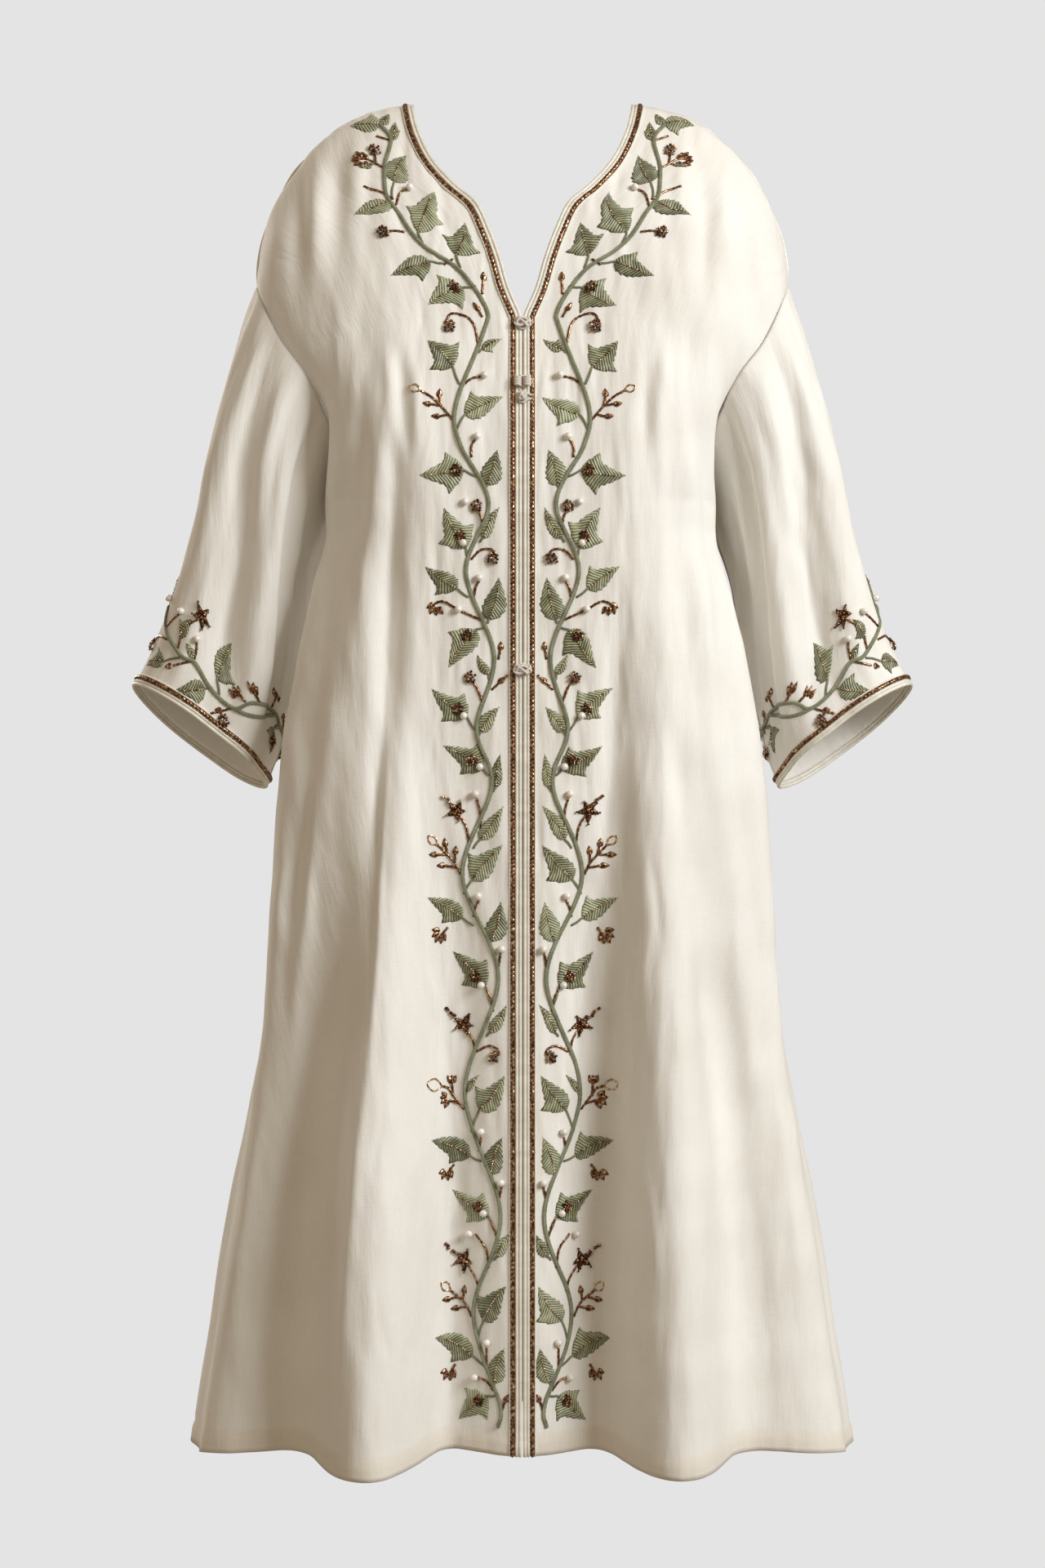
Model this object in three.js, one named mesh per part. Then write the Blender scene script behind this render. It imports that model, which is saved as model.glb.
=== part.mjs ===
// A kaftan dress, filled out as it is when worn, with nothing inside it.
// Two front panels meet edge to edge down the middle, a back panel and two wide sleeves join them at
// dropped armholes, and corded edging with a metal-thread braid runs round the neck, fronts and cuffs.
//
// Millimetres, +Z up. The origin is midway between the two high shoulder points, where the wearer's
// shoulders hold the dress. The front faces -Y and the wearer's right side is -X. In the tables, across
// is the distance from the middle of the body, forward is towards -Y and down is below the origin.
import * as THREE from 'three';

// Cloth and trim sizes
const CLOTH = 1.6;
const SEAM_SET_BACK = 0.25;
const EDGING_WIDE = 6.4;
const EDGING_GAP = 0.3;
const SHOULDER_TILT = 1.1;
const CHEST_TILT = 0.1;
const CHEST_TILT_STATION = 0.7;
const SHOULDER_SEAM_SLOPE = 0.2;
const SHOULDER_SEAM_STATION = 0.06;
const PIPING_CROWN = 1.5;
const PIPING_SUNK = 1.5;
const PIPING_ROUNDING = 1.2;
const BRAID_RADIUS = 1.4;
const BRAID_FROM_EDGE = 1.9;
const BRAID_LIFT = 0.3;
const CUFF_EDGING_WIDE = 6.8;

// Sizes of the cut
const NECK_HALF = 100;
const SHOULDER_ACROSS = 245;
const SHOULDER_DROP = 167;
const UNDERARM_DOWN = 365;
const UNDERARM_ACROSS = 164;
const UNDERARM_BACK = 20;
const NECK_POINT_DOWN = 209;
const BACK_NECK_DOWN = 187;
const CHEST_ROW_DOWN = 375;
const HEM_DOWN = 1222;
const SIDE_HEM_DOWN = 1231;
const CENTRE_GAP = 0.5;

// A station counts down a panel: 0 at the shoulder seam, 1 at the point of the neck, 2 at the underarm
// and 3 at the hem.
const NECK_ROWS = 9;
const CHEST_ROWS = 5;
const SKIRT_ROWS = 17;
const HALF_COLUMNS = 16;
const SLEEVE_RINGS = 11;
const NECK_ROW_CROWDING = 1.2;
const FINE_SAMPLES = 110;

// The finished edge of each front, from the shoulder to the point of the neck
const FRONT_NECK = [
  { station: 0, across: NECK_HALF, forward: 0, down: 0 },
  { station: 0.05, across: 99.4, forward: 17, down: 8 },
  { station: 0.125, across: 93.5, forward: 38, down: 33 },
  { station: 0.25, across: 80.5, forward: 57, down: 62 },
  { station: 0.375, across: 61.5, forward: 70, down: 85 },
  { station: 0.5, across: 40.8, forward: 80, down: 104 },
  { station: 0.625, across: 28.6, forward: 87, down: 130 },
  { station: 0.75, across: 19.3, forward: 93, down: 156 },
  { station: 0.875, across: 11.6, forward: 97, down: 183 },
  { station: 1, across: CENTRE_GAP, forward: 101, down: NECK_POINT_DOWN },
];

// The back neckline, low enough to leave the neck opening clear from in front
const BACK_NECK = [
  { station: 0, across: NECK_HALF, forward: 0, down: 0 },
  { station: 0.05, across: 99.4, forward: -17, down: 7 },
  { station: 0.125, across: 95, forward: -38, down: 26 },
  { station: 0.25, across: 86, forward: -57, down: 51 },
  { station: 0.375, across: 73, forward: -69, down: 75 },
  { station: 0.5, across: 57, forward: -77, down: 97 },
  { station: 0.625, across: 42, forward: -82, down: 121 },
  { station: 0.75, across: 30, forward: -85, down: 146 },
  { station: 0.875, across: 17, forward: -87, down: 172 },
  { station: 1, across: 0, forward: -88, down: BACK_NECK_DOWN },
];

// How far the middle of the front and of the back stand out, over a general figure and down to the hem
const FRONT_MIDDLE = [
  { down: 209, forward: 101 },
  { down: 260, forward: 113 },
  { down: 310, forward: 119 },
  { down: 375, forward: 120 },
  { down: 500, forward: 114 },
  { down: 700, forward: 108 },
  { down: 900, forward: 104 },
  { down: HEM_DOWN, forward: 100 },
];
const BACK_MIDDLE = [
  { down: 196, forward: -88 },
  { down: 260, forward: -96 },
  { down: 375, forward: -97 },
  { down: 500, forward: -92 },
  { down: 700, forward: -98 },
  { down: 900, forward: -108 },
  { down: HEM_DOWN, forward: -124 },
];

// The dropped armhole seam, in front and behind, from its top to the underarm
const FRONT_ARMHOLE = [
  { station: 0, across: SHOULDER_ACROSS, forward: 0, down: SHOULDER_DROP },
  { station: 0.35, across: 237, forward: 42, down: 186 },
  { station: 0.7, across: 216, forward: 63, down: 228 },
  { station: 1, across: 193, forward: 70, down: 259 },
  { station: 1.35, across: 175, forward: 48, down: 298 },
  { station: 1.7, across: 166, forward: 10, down: 340 },
  { station: 2, across: UNDERARM_ACROSS, forward: -UNDERARM_BACK, down: UNDERARM_DOWN },
];
const BACK_ARMHOLE = [
  { station: 0, across: SHOULDER_ACROSS, forward: 0, down: SHOULDER_DROP },
  { station: 0.35, across: 240, forward: -42, down: 187 },
  { station: 0.7, across: 228, forward: -62, down: 226 },
  { station: 1, across: 212, forward: -74, down: 264 },
  { station: 1.35, across: 192, forward: -70, down: 303 },
  { station: 1.7, across: 174, forward: -47, down: 342 },
  { station: 2, across: UNDERARM_ACROSS, forward: -UNDERARM_BACK, down: UNDERARM_DOWN },
];

// How far the side of the body lies off the seam round the armhole. Rows of cloth make for the body's
// side, and bend out to the seam only near their ends, the more sharply the higher the power.
const BODY_SIDE = [
  { station: 0.6, offAcross: 0, offForward: 0, offDown: 0 },
  { station: 1, offAcross: 4, offForward: -14, offDown: -3 },
  { station: 1.35, offAcross: 9, offForward: -15, offDown: -4 },
  { station: 1.7, offAcross: 7, offForward: 2, offDown: -3 },
  { station: 2, offAcross: 3, offForward: 19, offDown: 0 },
  { station: 2.06, offAcross: 3, offForward: 12, offDown: 0 },
  { station: 2.12, offAcross: 1, offForward: 4, offDown: 0 },
  { station: 2.2, offAcross: 0, offForward: 0, offDown: 0 },
];
const SEAM_BEND = 7;

// The side seam, from the underarm to the hem, a little in front of the widest part
const SIDE_SEAM = [
  { down: UNDERARM_DOWN, across: UNDERARM_ACROSS, forward: -UNDERARM_BACK },
  { down: 400, across: 161, forward: -16 },
  { down: 440, across: 169, forward: -10 },
  { down: 500, across: 184, forward: -2 },
  { down: 600, across: 205, forward: 6 },
  { down: 715, across: 220, forward: 12 },
  { down: 860, across: 237, forward: 18 },
  { down: 1010, across: 262, forward: 26 },
  { down: SIDE_HEM_DOWN, across: 294, forward: 35 },
];

// Each row of cloth bends from the front round to the side: across follows a sine and forward a cosine,
// each to a power. Powers of 1 are an ellipse, less is squarer, and a forward power of 2 runs straight
// out to the side. The swell is how far the chest or the shoulder blades stand out half way along a row.
const FRONT_SHAPE = [
  { down: 0, acrossPower: 1.05, forwardPower: 1.05, swell: 0 },
  { down: 90, acrossPower: 1, forwardPower: 1.35, swell: 9 },
  { down: 180, acrossPower: 0.98, forwardPower: 1.5, swell: 16 },
  { down: 260, acrossPower: 0.88, forwardPower: 0.95, swell: 18 },
  { down: 330, acrossPower: 0.76, forwardPower: 0.62, swell: 13 },
  { down: 400, acrossPower: 0.7, forwardPower: 0.52, swell: 9 },
  { down: 480, acrossPower: 0.7, forwardPower: 0.54, swell: 6 },
  { down: 620, acrossPower: 0.76, forwardPower: 0.66, swell: 2 },
  { down: 850, acrossPower: 0.86, forwardPower: 0.86, swell: 0 },
  { down: HEM_DOWN, acrossPower: 0.9, forwardPower: 0.9, swell: 0 },
];
const BACK_SHAPE = [
  { down: 0, acrossPower: 1.05, forwardPower: 1.05, swell: 0 },
  { down: 90, acrossPower: 1, forwardPower: 1.35, swell: 9 },
  { down: 180, acrossPower: 0.98, forwardPower: 1.4, swell: 14 },
  { down: 260, acrossPower: 0.9, forwardPower: 1.1, swell: 13 },
  { down: 330, acrossPower: 0.82, forwardPower: 0.9, swell: 10 },
  { down: 420, acrossPower: 0.78, forwardPower: 0.8, swell: 6 },
  { down: 700, acrossPower: 0.84, forwardPower: 0.86, swell: 0 },
  { down: HEM_DOWN, acrossPower: 0.9, forwardPower: 0.9, swell: 0 },
];

// Folds of the front and back, one row each. top and hem are its places across the cloth, from 0 at the
// middle to 1 at the side. It begins at start, is full at full and has gone again by gone, all down from
// the shoulder. depth is how far it stands out, wide is its half width across, and steep leans its walls.
const FRONT_FOLDS = [
  { name: 'great fold', top: 0.5, hem: 0.41, start: 330, full: 1120, depth: 66, wide: 0.115, steep: 0.3 },
  { name: 'placket hollow', top: 0.22, hem: 0.19, start: 480, full: 1120, depth: -22, wide: 0.11, steep: 0 },
  { name: 'outer hollow', top: 0.72, hem: 0.68, start: 560, full: 1120, depth: -14, wide: 0.12, steep: 0 },
  { name: 'bust', top: 0.6, hem: 0.66, start: 300, full: 520, depth: 7, wide: 0.06, steep: 0.1, gone: 1000 },
  { name: 'side', top: 0.8, hem: 0.84, start: 175, full: 480, depth: 20, wide: 0.13, steep: 0.1, gone: 1260 },
];
const BACK_FOLDS = [
  { name: 'middle fold', top: 0, hem: 0, start: 300, full: 1120, depth: 34, wide: 0.12, steep: 0 },
  { name: 'inner hollow', top: 0.2, hem: 0.2, start: 420, full: 1120, depth: -20, wide: 0.1, steep: 0 },
  { name: 'great fold', top: 0.4, hem: 0.42, start: 300, full: 1120, depth: 46, wide: 0.1, steep: 0.25 },
  { name: 'outer hollow', top: 0.62, hem: 0.64, start: 500, full: 1120, depth: -16, wide: 0.09, steep: 0 },
  { name: 'side wrap', top: 0.84, hem: 0.86, start: 560, full: 1120, depth: 18, wide: 0.12, steep: 0.1 },
];
const LEFT_DEPTH_SHARE = 0.94;
const LEFT_SHARE_BEGINS = 0.02;
const LEFT_SHARE_FULL = 0.2;
const FOLD_DIES_AT_SIDE = 0.9;
const STEEP_FROM_MIDDLE = 0.1;
const FOLD_HANGS_LOWER = 0.13;
const HANG_STATION = 2.4;

// The cuff is a slanting ellipse. Its outer end is the one away from the body.
const CUFF_OUTER = { across: 360, forward: -14, down: 538 };
const CUFF_INNER = { across: 238, forward: -20, down: 626 };
const CUFF_FRONT = { across: 0, forward: 60, down: -18 };

// Folds of the sleeve. armhole and cuff are their angles round it there, in degrees: 0 at the outer side,
// 90 in front and 180 at the underarm. They are full at one share of its length and wane from another.
const SLEEVE_FOLDS = [
  { name: 'outer ridge', armhole: 38, cuff: 40, depth: 7, wide: 24 },
  { name: 'front hollow', armhole: 66, cuff: 98, depth: -15, wide: 19 },
  { name: 'inner ridge', armhole: 102, cuff: 128, depth: 11, wide: 22 },
  { name: 'underarm hollow', armhole: 150, cuff: 160, depth: -7, wide: 20 },
  { name: 'back hollow', armhole: 236, cuff: 246, depth: -12, wide: 22 },
  { name: 'back ridge', armhole: 285, cuff: 290, depth: 8, wide: 26 },
];
const SLEEVE_FOLDS_FULL = 0.45;
const SLEEVE_FOLDS_WANE = 0.75;
const CUFF_FOLD_SHARE = 0.25;

// The way a sleeve leaves the armhole and reaches the cuff, as shares of a step outwards and of one down
const SLEEVE_LEAVES = { across: 0.36, acrossInFront: 0.24, acrossInside: 0.1, forward: 0.12, down: 0.9 };
const SLEEVE_REACHES = { across: 0.46, acrossOutside: 0.06, down: 0.86 };
const SLEEVE_FLATNESS = 0.8;

// Knot closures down the front edges, each a knotted button and the loop that holds it
const CLOSURES = [
  { name: 'top', down: 217 },
  { name: 'second', down: 270 },
  { name: 'third', down: 284 },
  { name: 'low', down: 524 },
];
const KNOT_RADIUS = 3.3;
const KNOT_FLATNESS = 0.8;
const KNOT_SIDES = 10;
const KNOT_GROOVE = 0.93;
const KNOT_LATITUDES = [-50, -18, 18, 50];
const LOOP_CORD_RADIUS = 1.1;
const LOOP_REACH = 6.8;
const LOOP_ENDS_APART = 3;
const LOOP_TURN_FROM = 38;
const LOOP_TURN_STEPS = 10;
const CLOSURE_LIFT = 0.4;

const COLOURS = { cloth: 0xe6e0d5, edging: 0xeee9dd, braid: 0x8a6238, knot: 0xe9dccd };

const clamp01 = (x) => Math.min(1, Math.max(0, x));
const mix = (a, b, t) => a + (b - a) * t;

function ease(from, to, x) {
  const t = clamp01((x - from) / (to - from));
  return t * t * (3 - 2 * t);
}

// One column of a table at a given place, on a smooth curve through the table's rows
function read(rows, key, column, at) {
  const last = rows.length - 1;
  let i = 0;
  while (i < last - 1 && at > rows[i + 1][key]) i++;
  const slope = (k) => {
    const before = rows[Math.max(0, k - 1)];
    const after = rows[Math.min(last, k + 1)];
    return (after[column] - before[column]) / (after[key] - before[key]);
  };
  const step = rows[i + 1][key] - rows[i][key];
  const t = clamp01((at - rows[i][key]) / step);
  const startShare = (1 + 2 * t) * (1 - t) ** 2;
  const startPull = t * (1 - t) ** 2 * step * slope(i);
  const endPull = t * t * (t - 1) * step * slope(i + 1);
  return startShare * rows[i][column] + (1 - startShare) * rows[i + 1][column] + startPull + endPull;
}

// A point from a table, on the wearer's right side
function place(rows, key, at) {
  return new THREE.Vector3(
    -read(rows, key, 'across', at),
    -read(rows, key, 'forward', at),
    -read(rows, key, 'down', at),
  );
}

function middlePoint(rows, across, down) {
  return new THREE.Vector3(-across, -read(rows, 'down', 'forward', down), -down);
}

function sideSeamPoint(station) {
  const down = mix(UNDERARM_DOWN, SIDE_HEM_DOWN, station - 2);
  return new THREE.Vector3(
    -read(SIDE_SEAM, 'down', 'across', down),
    -read(SIDE_SEAM, 'down', 'forward', down),
    -down,
  );
}

function middleDown(station, neckDown) {
  if (station <= 1) return neckDown * station;
  if (station <= 2) return mix(neckDown, CHEST_ROW_DOWN, station - 1);
  return mix(CHEST_ROW_DOWN, HEM_DOWN, station - 2);
}

// The finished front edge: the neckline, then straight down the middle
function frontEdge(station) {
  if (station <= 1) return place(FRONT_NECK, 'station', station);
  return middlePoint(FRONT_MIDDLE, CENTRE_GAP, middleDown(station, NECK_POINT_DOWN));
}

const backEdge = (station) => place(BACK_NECK, 'station', station);

// The direction that lies in the cloth and points away from its finished edge, which ends at station
// last. The cloth tilts up at the shoulder, where both sheets run along the seam, and hardly at the chest.
function awayFromEdge(edge, facing, station, last) {
  const step = 0.01;
  const along = edge(Math.min(last, station + step)).sub(edge(Math.max(0, station - step)));
  const tilt = mix(SHOULDER_TILT, CHEST_TILT, ease(0, CHEST_TILT_STATION, station));
  const normal = new THREE.Vector3(0, -facing * Math.cos(tilt), Math.sin(tilt));
  const away = along.cross(normal).multiplyScalar(facing).normalize();
  const alongSeam = new THREE.Vector3(-1, 0, -SHOULDER_SEAM_SLOPE).normalize();
  return alongSeam.lerp(away, ease(0, SHOULDER_SEAM_STATION, station)).normalize();
}

const frontAway = (station) => awayFromEdge(frontEdge, 1, station, 3);
const backAway = (station) => awayFromEdge(backEdge, -1, station, 1);

// Where a panel stops and its edging starts
const frontPanelEdge = (station) => frontEdge(station).addScaledVector(frontAway(station), EDGING_WIDE);

function backPanelEdge(station) {
  if (station > 1) return middlePoint(BACK_MIDDLE, 0, middleDown(station, BACK_NECK_DOWN + EDGING_WIDE));
  const point = backEdge(station).addScaledVector(backAway(station), EDGING_WIDE);
  if (station === 1) point.x = 0;
  return point;
}

const sideOf = (armhole) => (s) => (s <= 2 ? place(armhole, 'station', s) : sideSeamPoint(s));

const FRONT = {
  facing: 1,
  inner: frontPanelEdge,
  outer: sideOf(FRONT_ARMHOLE),
  shape: FRONT_SHAPE,
  folds: FRONT_FOLDS,
};
const BACK = {
  facing: -1,
  inner: backPanelEdge,
  outer: sideOf(BACK_ARMHOLE),
  shape: BACK_SHAPE,
  folds: BACK_FOLDS,
};

// Points along one row of cloth before its folds, evenly spaced in length
function smoothRow(half, station) {
  const inner = half.inner(station);
  const seam = half.outer(station);
  const off = new THREE.Vector3();
  if (station > BODY_SIDE[0].station && station < BODY_SIDE[BODY_SIDE.length - 1].station) {
    off.x = -read(BODY_SIDE, 'station', 'offAcross', station);
    off.y = -half.facing * read(BODY_SIDE, 'station', 'offForward', station);
    off.z = -read(BODY_SIDE, 'station', 'offDown', station);
  }
  const outer = seam.clone().add(off);
  const down = middleDown(station, NECK_POINT_DOWN);
  const acrossPower = read(half.shape, 'down', 'acrossPower', down);
  const forwardPower = read(half.shape, 'down', 'forwardPower', down);
  const swell = read(half.shape, 'down', 'swell', down);
  const points = [];
  for (let i = 0; i <= FINE_SAMPLES; i++) {
    const angle = (i / FINE_SAMPLES) * (Math.PI / 2);
    const out = Math.sin(angle) ** acrossPower;
    const cosine = i === FINE_SAMPLES ? 0 : Math.cos(angle);
    const x = mix(inner.x, outer.x, out);
    const y = mix(outer.y, inner.y, cosine ** forwardPower) - half.facing * swell * Math.sin(2 * angle) ** 2;
    const z = mix(outer.z, inner.z, cosine ** acrossPower);
    points.push(new THREE.Vector3(x, y, z).addScaledVector(off, -(Math.sin(angle) ** SEAM_BEND)));
  }
  return evenly(points, FINE_SAMPLES);
}

// The same line again, cut into pieces of equal length
function evenly(points, pieces) {
  const lengths = [0];
  for (let i = 1; i < points.length; i++) lengths.push(lengths[i - 1] + points[i].distanceTo(points[i - 1]));
  const total = lengths[lengths.length - 1];
  const result = [];
  let k = 0;
  for (let j = 0; j <= pieces; j++) {
    const at = (total * j) / pieces;
    while (k < points.length - 2 && lengths[k + 1] < at) k++;
    const t = clamp01((at - lengths[k]) / (lengths[k + 1] - lengths[k]));
    result.push(points[k].clone().lerp(points[k + 1], t));
  }
  return result;
}

// How far the folds move a point out of the cloth and along it
function foldShift(folds, across, down, leftSide) {
  let out = 0;
  let along = 0;
  for (const fold of folds) {
    const centre = mix(fold.top, fold.hem, clamp01((down - fold.start) / (HEM_DOWN - fold.start)));
    const offset = (across - centre) / fold.wide;
    const fades = fold.gone ? 1 - ease(fold.full, fold.gone, down) : 1;
    const height = fold.depth * ease(fold.start, fold.full, down) * fades * Math.exp(-(offset ** 2));
    out += height;
    along += fold.steep * height * offset;
  }
  const side = 1 - ease(FOLD_DIES_AT_SIDE, 1, across);
  const share = leftSide ? mix(1, LEFT_DEPTH_SHARE, ease(LEFT_SHARE_BEGINS, LEFT_SHARE_FULL, across)) : 1;
  return { out: out * side * share, along: along * side * share * ease(0, STEEP_FROM_MIDDLE, across) };
}

// One finished row of a half panel, with its folds, on the right side or mirrored to the left
function panelRow(half, station, leftSide) {
  const step = 0.004;
  const here = smoothRow(half, station);
  const above = smoothRow(half, Math.max(0, station - step));
  const below = smoothRow(half, Math.min(3, station + step));
  const moved = here.map((point, i) => {
    const rowWay = here[Math.min(FINE_SAMPLES, i + 1)].clone().sub(here[Math.max(0, i - 1)]).normalize();
    const downWay = below[i].clone().sub(above[i]);
    const normal = rowWay.clone().cross(downWay).multiplyScalar(half.facing).normalize();
    const shift = foldShift(half.folds, i / FINE_SAMPLES, -point.z, leftSide);
    const result = point.clone().addScaledVector(normal, shift.out).addScaledVector(rowWay, shift.along);
    result.z -= FOLD_HANGS_LOWER * shift.out * ease(HANG_STATION, 3, station);
    return result;
  });
  const row = evenly(moved, HALF_COLUMNS);
  if (leftSide) for (const p of row) p.x = -p.x;
  return row;
}

const STATIONS = [];
for (let i = 0; i < NECK_ROWS; i++) STATIONS.push((i / NECK_ROWS) ** NECK_ROW_CROWDING);
for (let i = 0; i < CHEST_ROWS; i++) STATIONS.push(1 + i / CHEST_ROWS);
for (let i = 0; i <= SKIRT_ROWS; i++) STATIONS.push(2 + i / SKIRT_ROWS);
const UNDERARM_ROW = NECK_ROWS + CHEST_ROWS;
const LAST_ROW = STATIONS.length - 1;

// A sheet is a list of points and the four-sided faces between them, which face outwards
const newSheet = () => ({ points: [], faces: [] });

// Adds a grid of rows of points. turned says that its faces have to be wound the other way.
function addGrid(sheet, rows, turned, closed = false, numberOf = null) {
  const number = numberOf ?? ((r, c) => rows.slice(0, r).reduce((n, row) => n + row.length, 0) + c);
  if (!numberOf) rows.forEach((row) => sheet.points.push(...row));
  const columns = rows[0].length;
  for (let r = 0; r + 1 < rows.length; r++) {
    for (let c = 0; c < (closed ? columns : columns - 1); c++) {
      const next = (c + 1) % columns;
      const [a, b, d, e] = [number(r, c), number(r, next), number(r + 1, next), number(r + 1, c)];
      sheet.faces.push(turned ? [a, e, d, b] : [a, b, d, e]);
    }
  }
  return sheet;
}

const panelRows = (half, leftSide) => STATIONS.map((s) => panelRow(half, s, leftSide));
const frontRows = { right: panelRows(FRONT, false), left: panelRows(FRONT, true) };
const backRows = { right: panelRows(BACK, false), left: panelRows(BACK, true) };

// The back is one piece: its two halves share the points of the middle line below the neck
function backSheet() {
  const sheet = newSheet();
  const numbers = { right: [], left: [] };
  for (const side of ['right', 'left']) {
    backRows[side].forEach((row, r) => {
      numbers[side][r] = row.map((point, c) => {
        if (side === 'left' && c === 0 && r >= NECK_ROWS) return numbers.right[r][0];
        sheet.points.push(point);
        return sheet.points.length - 1;
      });
    });
    addGrid(sheet, backRows[side], side === 'left', false, (r, c) => numbers[side][r][c]);
  }
  sheet.numbers = numbers;
  return sheet;
}

// Rings of a sleeve, from the armhole seam to where the cuff edging starts. Each line down the sleeve is
// a Hermite curve from the seam to the cuff's ellipse.
function sleeveRings(side) {
  const seam = [];
  for (let r = 0; r <= UNDERARM_ROW; r++) seam.push(frontRows[side][r][HALF_COLUMNS].clone());
  for (let r = UNDERARM_ROW - 1; r > 0; r--) seam.push(backRows[side][r][HALF_COLUMNS].clone());
  const mirror = side === 'left' ? -1 : 1;
  for (const p of seam) p.x *= mirror;
  const frontLength = lineLength(seam.slice(0, UNDERARM_ROW + 1));
  const backLength = lineLength([...seam.slice(UNDERARM_ROW), seam[0]]);
  const lines = seam.map((start, i) => {
    const isFront = i <= UNDERARM_ROW;
    const covered = isFront
      ? lineLength(seam.slice(0, i + 1)) / frontLength
      : 1 + lineLength(seam.slice(UNDERARM_ROW, i + 1)) / backLength;
    return { start, angle: Math.PI * covered };
  });
  const rings = [];
  for (let k = 0; k <= SLEEVE_RINGS; k++) {
    rings.push(lines.map((line) => sleevePoint(line.start, line.angle, k / SLEEVE_RINGS)));
  }
  for (const ring of rings) for (const p of ring) p.x *= mirror;
  return rings;
}

function lineLength(points) {
  let total = 0;
  for (let i = 1; i < points.length; i++) total += points[i].distanceTo(points[i - 1]);
  return total;
}

const vectorOf = ({ across, forward, down }) => new THREE.Vector3(-across, -forward, -down);

// A point of the cuff's finished edge
function cuffPoint(angle) {
  const outer = vectorOf(CUFF_OUTER);
  const inner = vectorOf(CUFF_INNER);
  const centre = outer.clone().add(inner).multiplyScalar(0.5);
  const long = outer.clone().sub(inner).multiplyScalar(0.5);
  return centre
    .addScaledVector(long, Math.cos(angle))
    .addScaledVector(vectorOf(CUFF_FRONT), Math.sin(angle));
}

// The way the sleeve leaves the armhole and reaches the cuff, round its angle
function armholeWay(angle) {
  const { across, acrossInFront, acrossInside, forward, down } = SLEEVE_LEAVES;
  const outwards = across + acrossInFront * Math.sin(angle) ** 2 + acrossInside * Math.sin(angle / 2) ** 2;
  return new THREE.Vector3(-outwards, -forward * Math.sin(angle), -down).normalize();
}

function cuffWay(angle) {
  const { across, acrossOutside, down } = SLEEVE_REACHES;
  return new THREE.Vector3(-across - acrossOutside * Math.cos(angle), 0, -down).normalize();
}

function sleevePoint(start, angle, t) {
  const end = cuffPoint(angle).addScaledVector(cuffWay(angle), -CUFF_EDGING_WIDE);
  const pull = start.distanceTo(end);
  const startShare = (1 + 2 * t) * (1 - t) ** 2;
  const point = start
    .clone()
    .multiplyScalar(startShare)
    .addScaledVector(end, 1 - startShare)
    .addScaledVector(armholeWay(angle), t * (1 - t) ** 2 * pull)
    .addScaledVector(cuffWay(angle), t * t * (t - 1) * pull);
  const out = new THREE.Vector3(-Math.cos(angle) * SLEEVE_FLATNESS, -Math.sin(angle), 0).normalize();
  let shift = 0;
  for (const fold of SLEEVE_FOLDS) {
    const middle = mix(fold.armhole, fold.cuff, t);
    const offset = ((angle * 180) / Math.PI - middle) / fold.wide;
    shift += fold.depth * Math.exp(-(offset ** 2));
  }
  const wane = mix(1, CUFF_FOLD_SHARE, ease(SLEEVE_FOLDS_WANE, 1, t));
  return point.addScaledVector(out, shift * ease(0, SLEEVE_FOLDS_FULL, t) * wane);
}

// Sheets of all the cloth pieces
const sheets = {
  front_right: addGrid(newSheet(), frontRows.right, true),
  front_left: addGrid(newSheet(), frontRows.left, false),
  back: backSheet(),
};
const rings = { right: sleeveRings('right'), left: sleeveRings('left') };
sheets.sleeve_right = addGrid(newSheet(), rings.right, false, true);
sheets.sleeve_left = addGrid(newSheet(), rings.left, true, true);

// Point normals of a sheet, from the faces round each point
function findNormals(sheet) {
  sheet.normals = sheet.points.map(() => new THREE.Vector3());
  for (const face of sheet.faces) {
    const [a, b, c, d] = face.map((n) => sheet.points[n]);
    const normal = c.clone().sub(a).cross(d.clone().sub(b)).negate();
    for (const n of face) sheet.normals[n].add(normal);
  }
  for (const normal of sheet.normals) normal.normalize();
}

const keyOf = (p) => `${Math.round(p.x * 100)},${Math.round(p.y * 100)},${Math.round(p.z * 100)}`;

// Where sheets meet at a seam, their points take one normal and draw back a little, each into its own cloth
function meetAtSeams(all) {
  const shared = new Map();
  for (const sheet of all) {
    findNormals(sheet);
    sheet.points.forEach((p, n) => {
      const found = shared.get(keyOf(p)) ?? { sum: new THREE.Vector3(), sheets: new Set() };
      found.sum.add(sheet.normals[n]);
      found.sheets.add(sheet);
      shared.set(keyOf(p), found);
    });
  }
  for (const sheet of all) {
    const middles = sheet.points.map(() => ({ sum: new THREE.Vector3(), count: 0 }));
    for (const face of sheet.faces) {
      const centre = new THREE.Vector3();
      for (const n of face) centre.addScaledVector(sheet.points[n], 0.25);
      for (const n of face) {
        middles[n].sum.add(centre);
        middles[n].count++;
      }
    }
    sheet.points = sheet.points.map((p, n) => {
      const found = shared.get(keyOf(p));
      if (found.sheets.size < 2) return p;
      sheet.normals[n] = found.sum.clone().normalize();
      const inwards = middles[n].sum.multiplyScalar(1 / middles[n].count).sub(p);
      inwards.addScaledVector(sheet.normals[n], -inwards.dot(sheet.normals[n])).normalize();
      return p.clone().addScaledVector(inwards, SEAM_SET_BACK);
    });
  }
}

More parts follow.
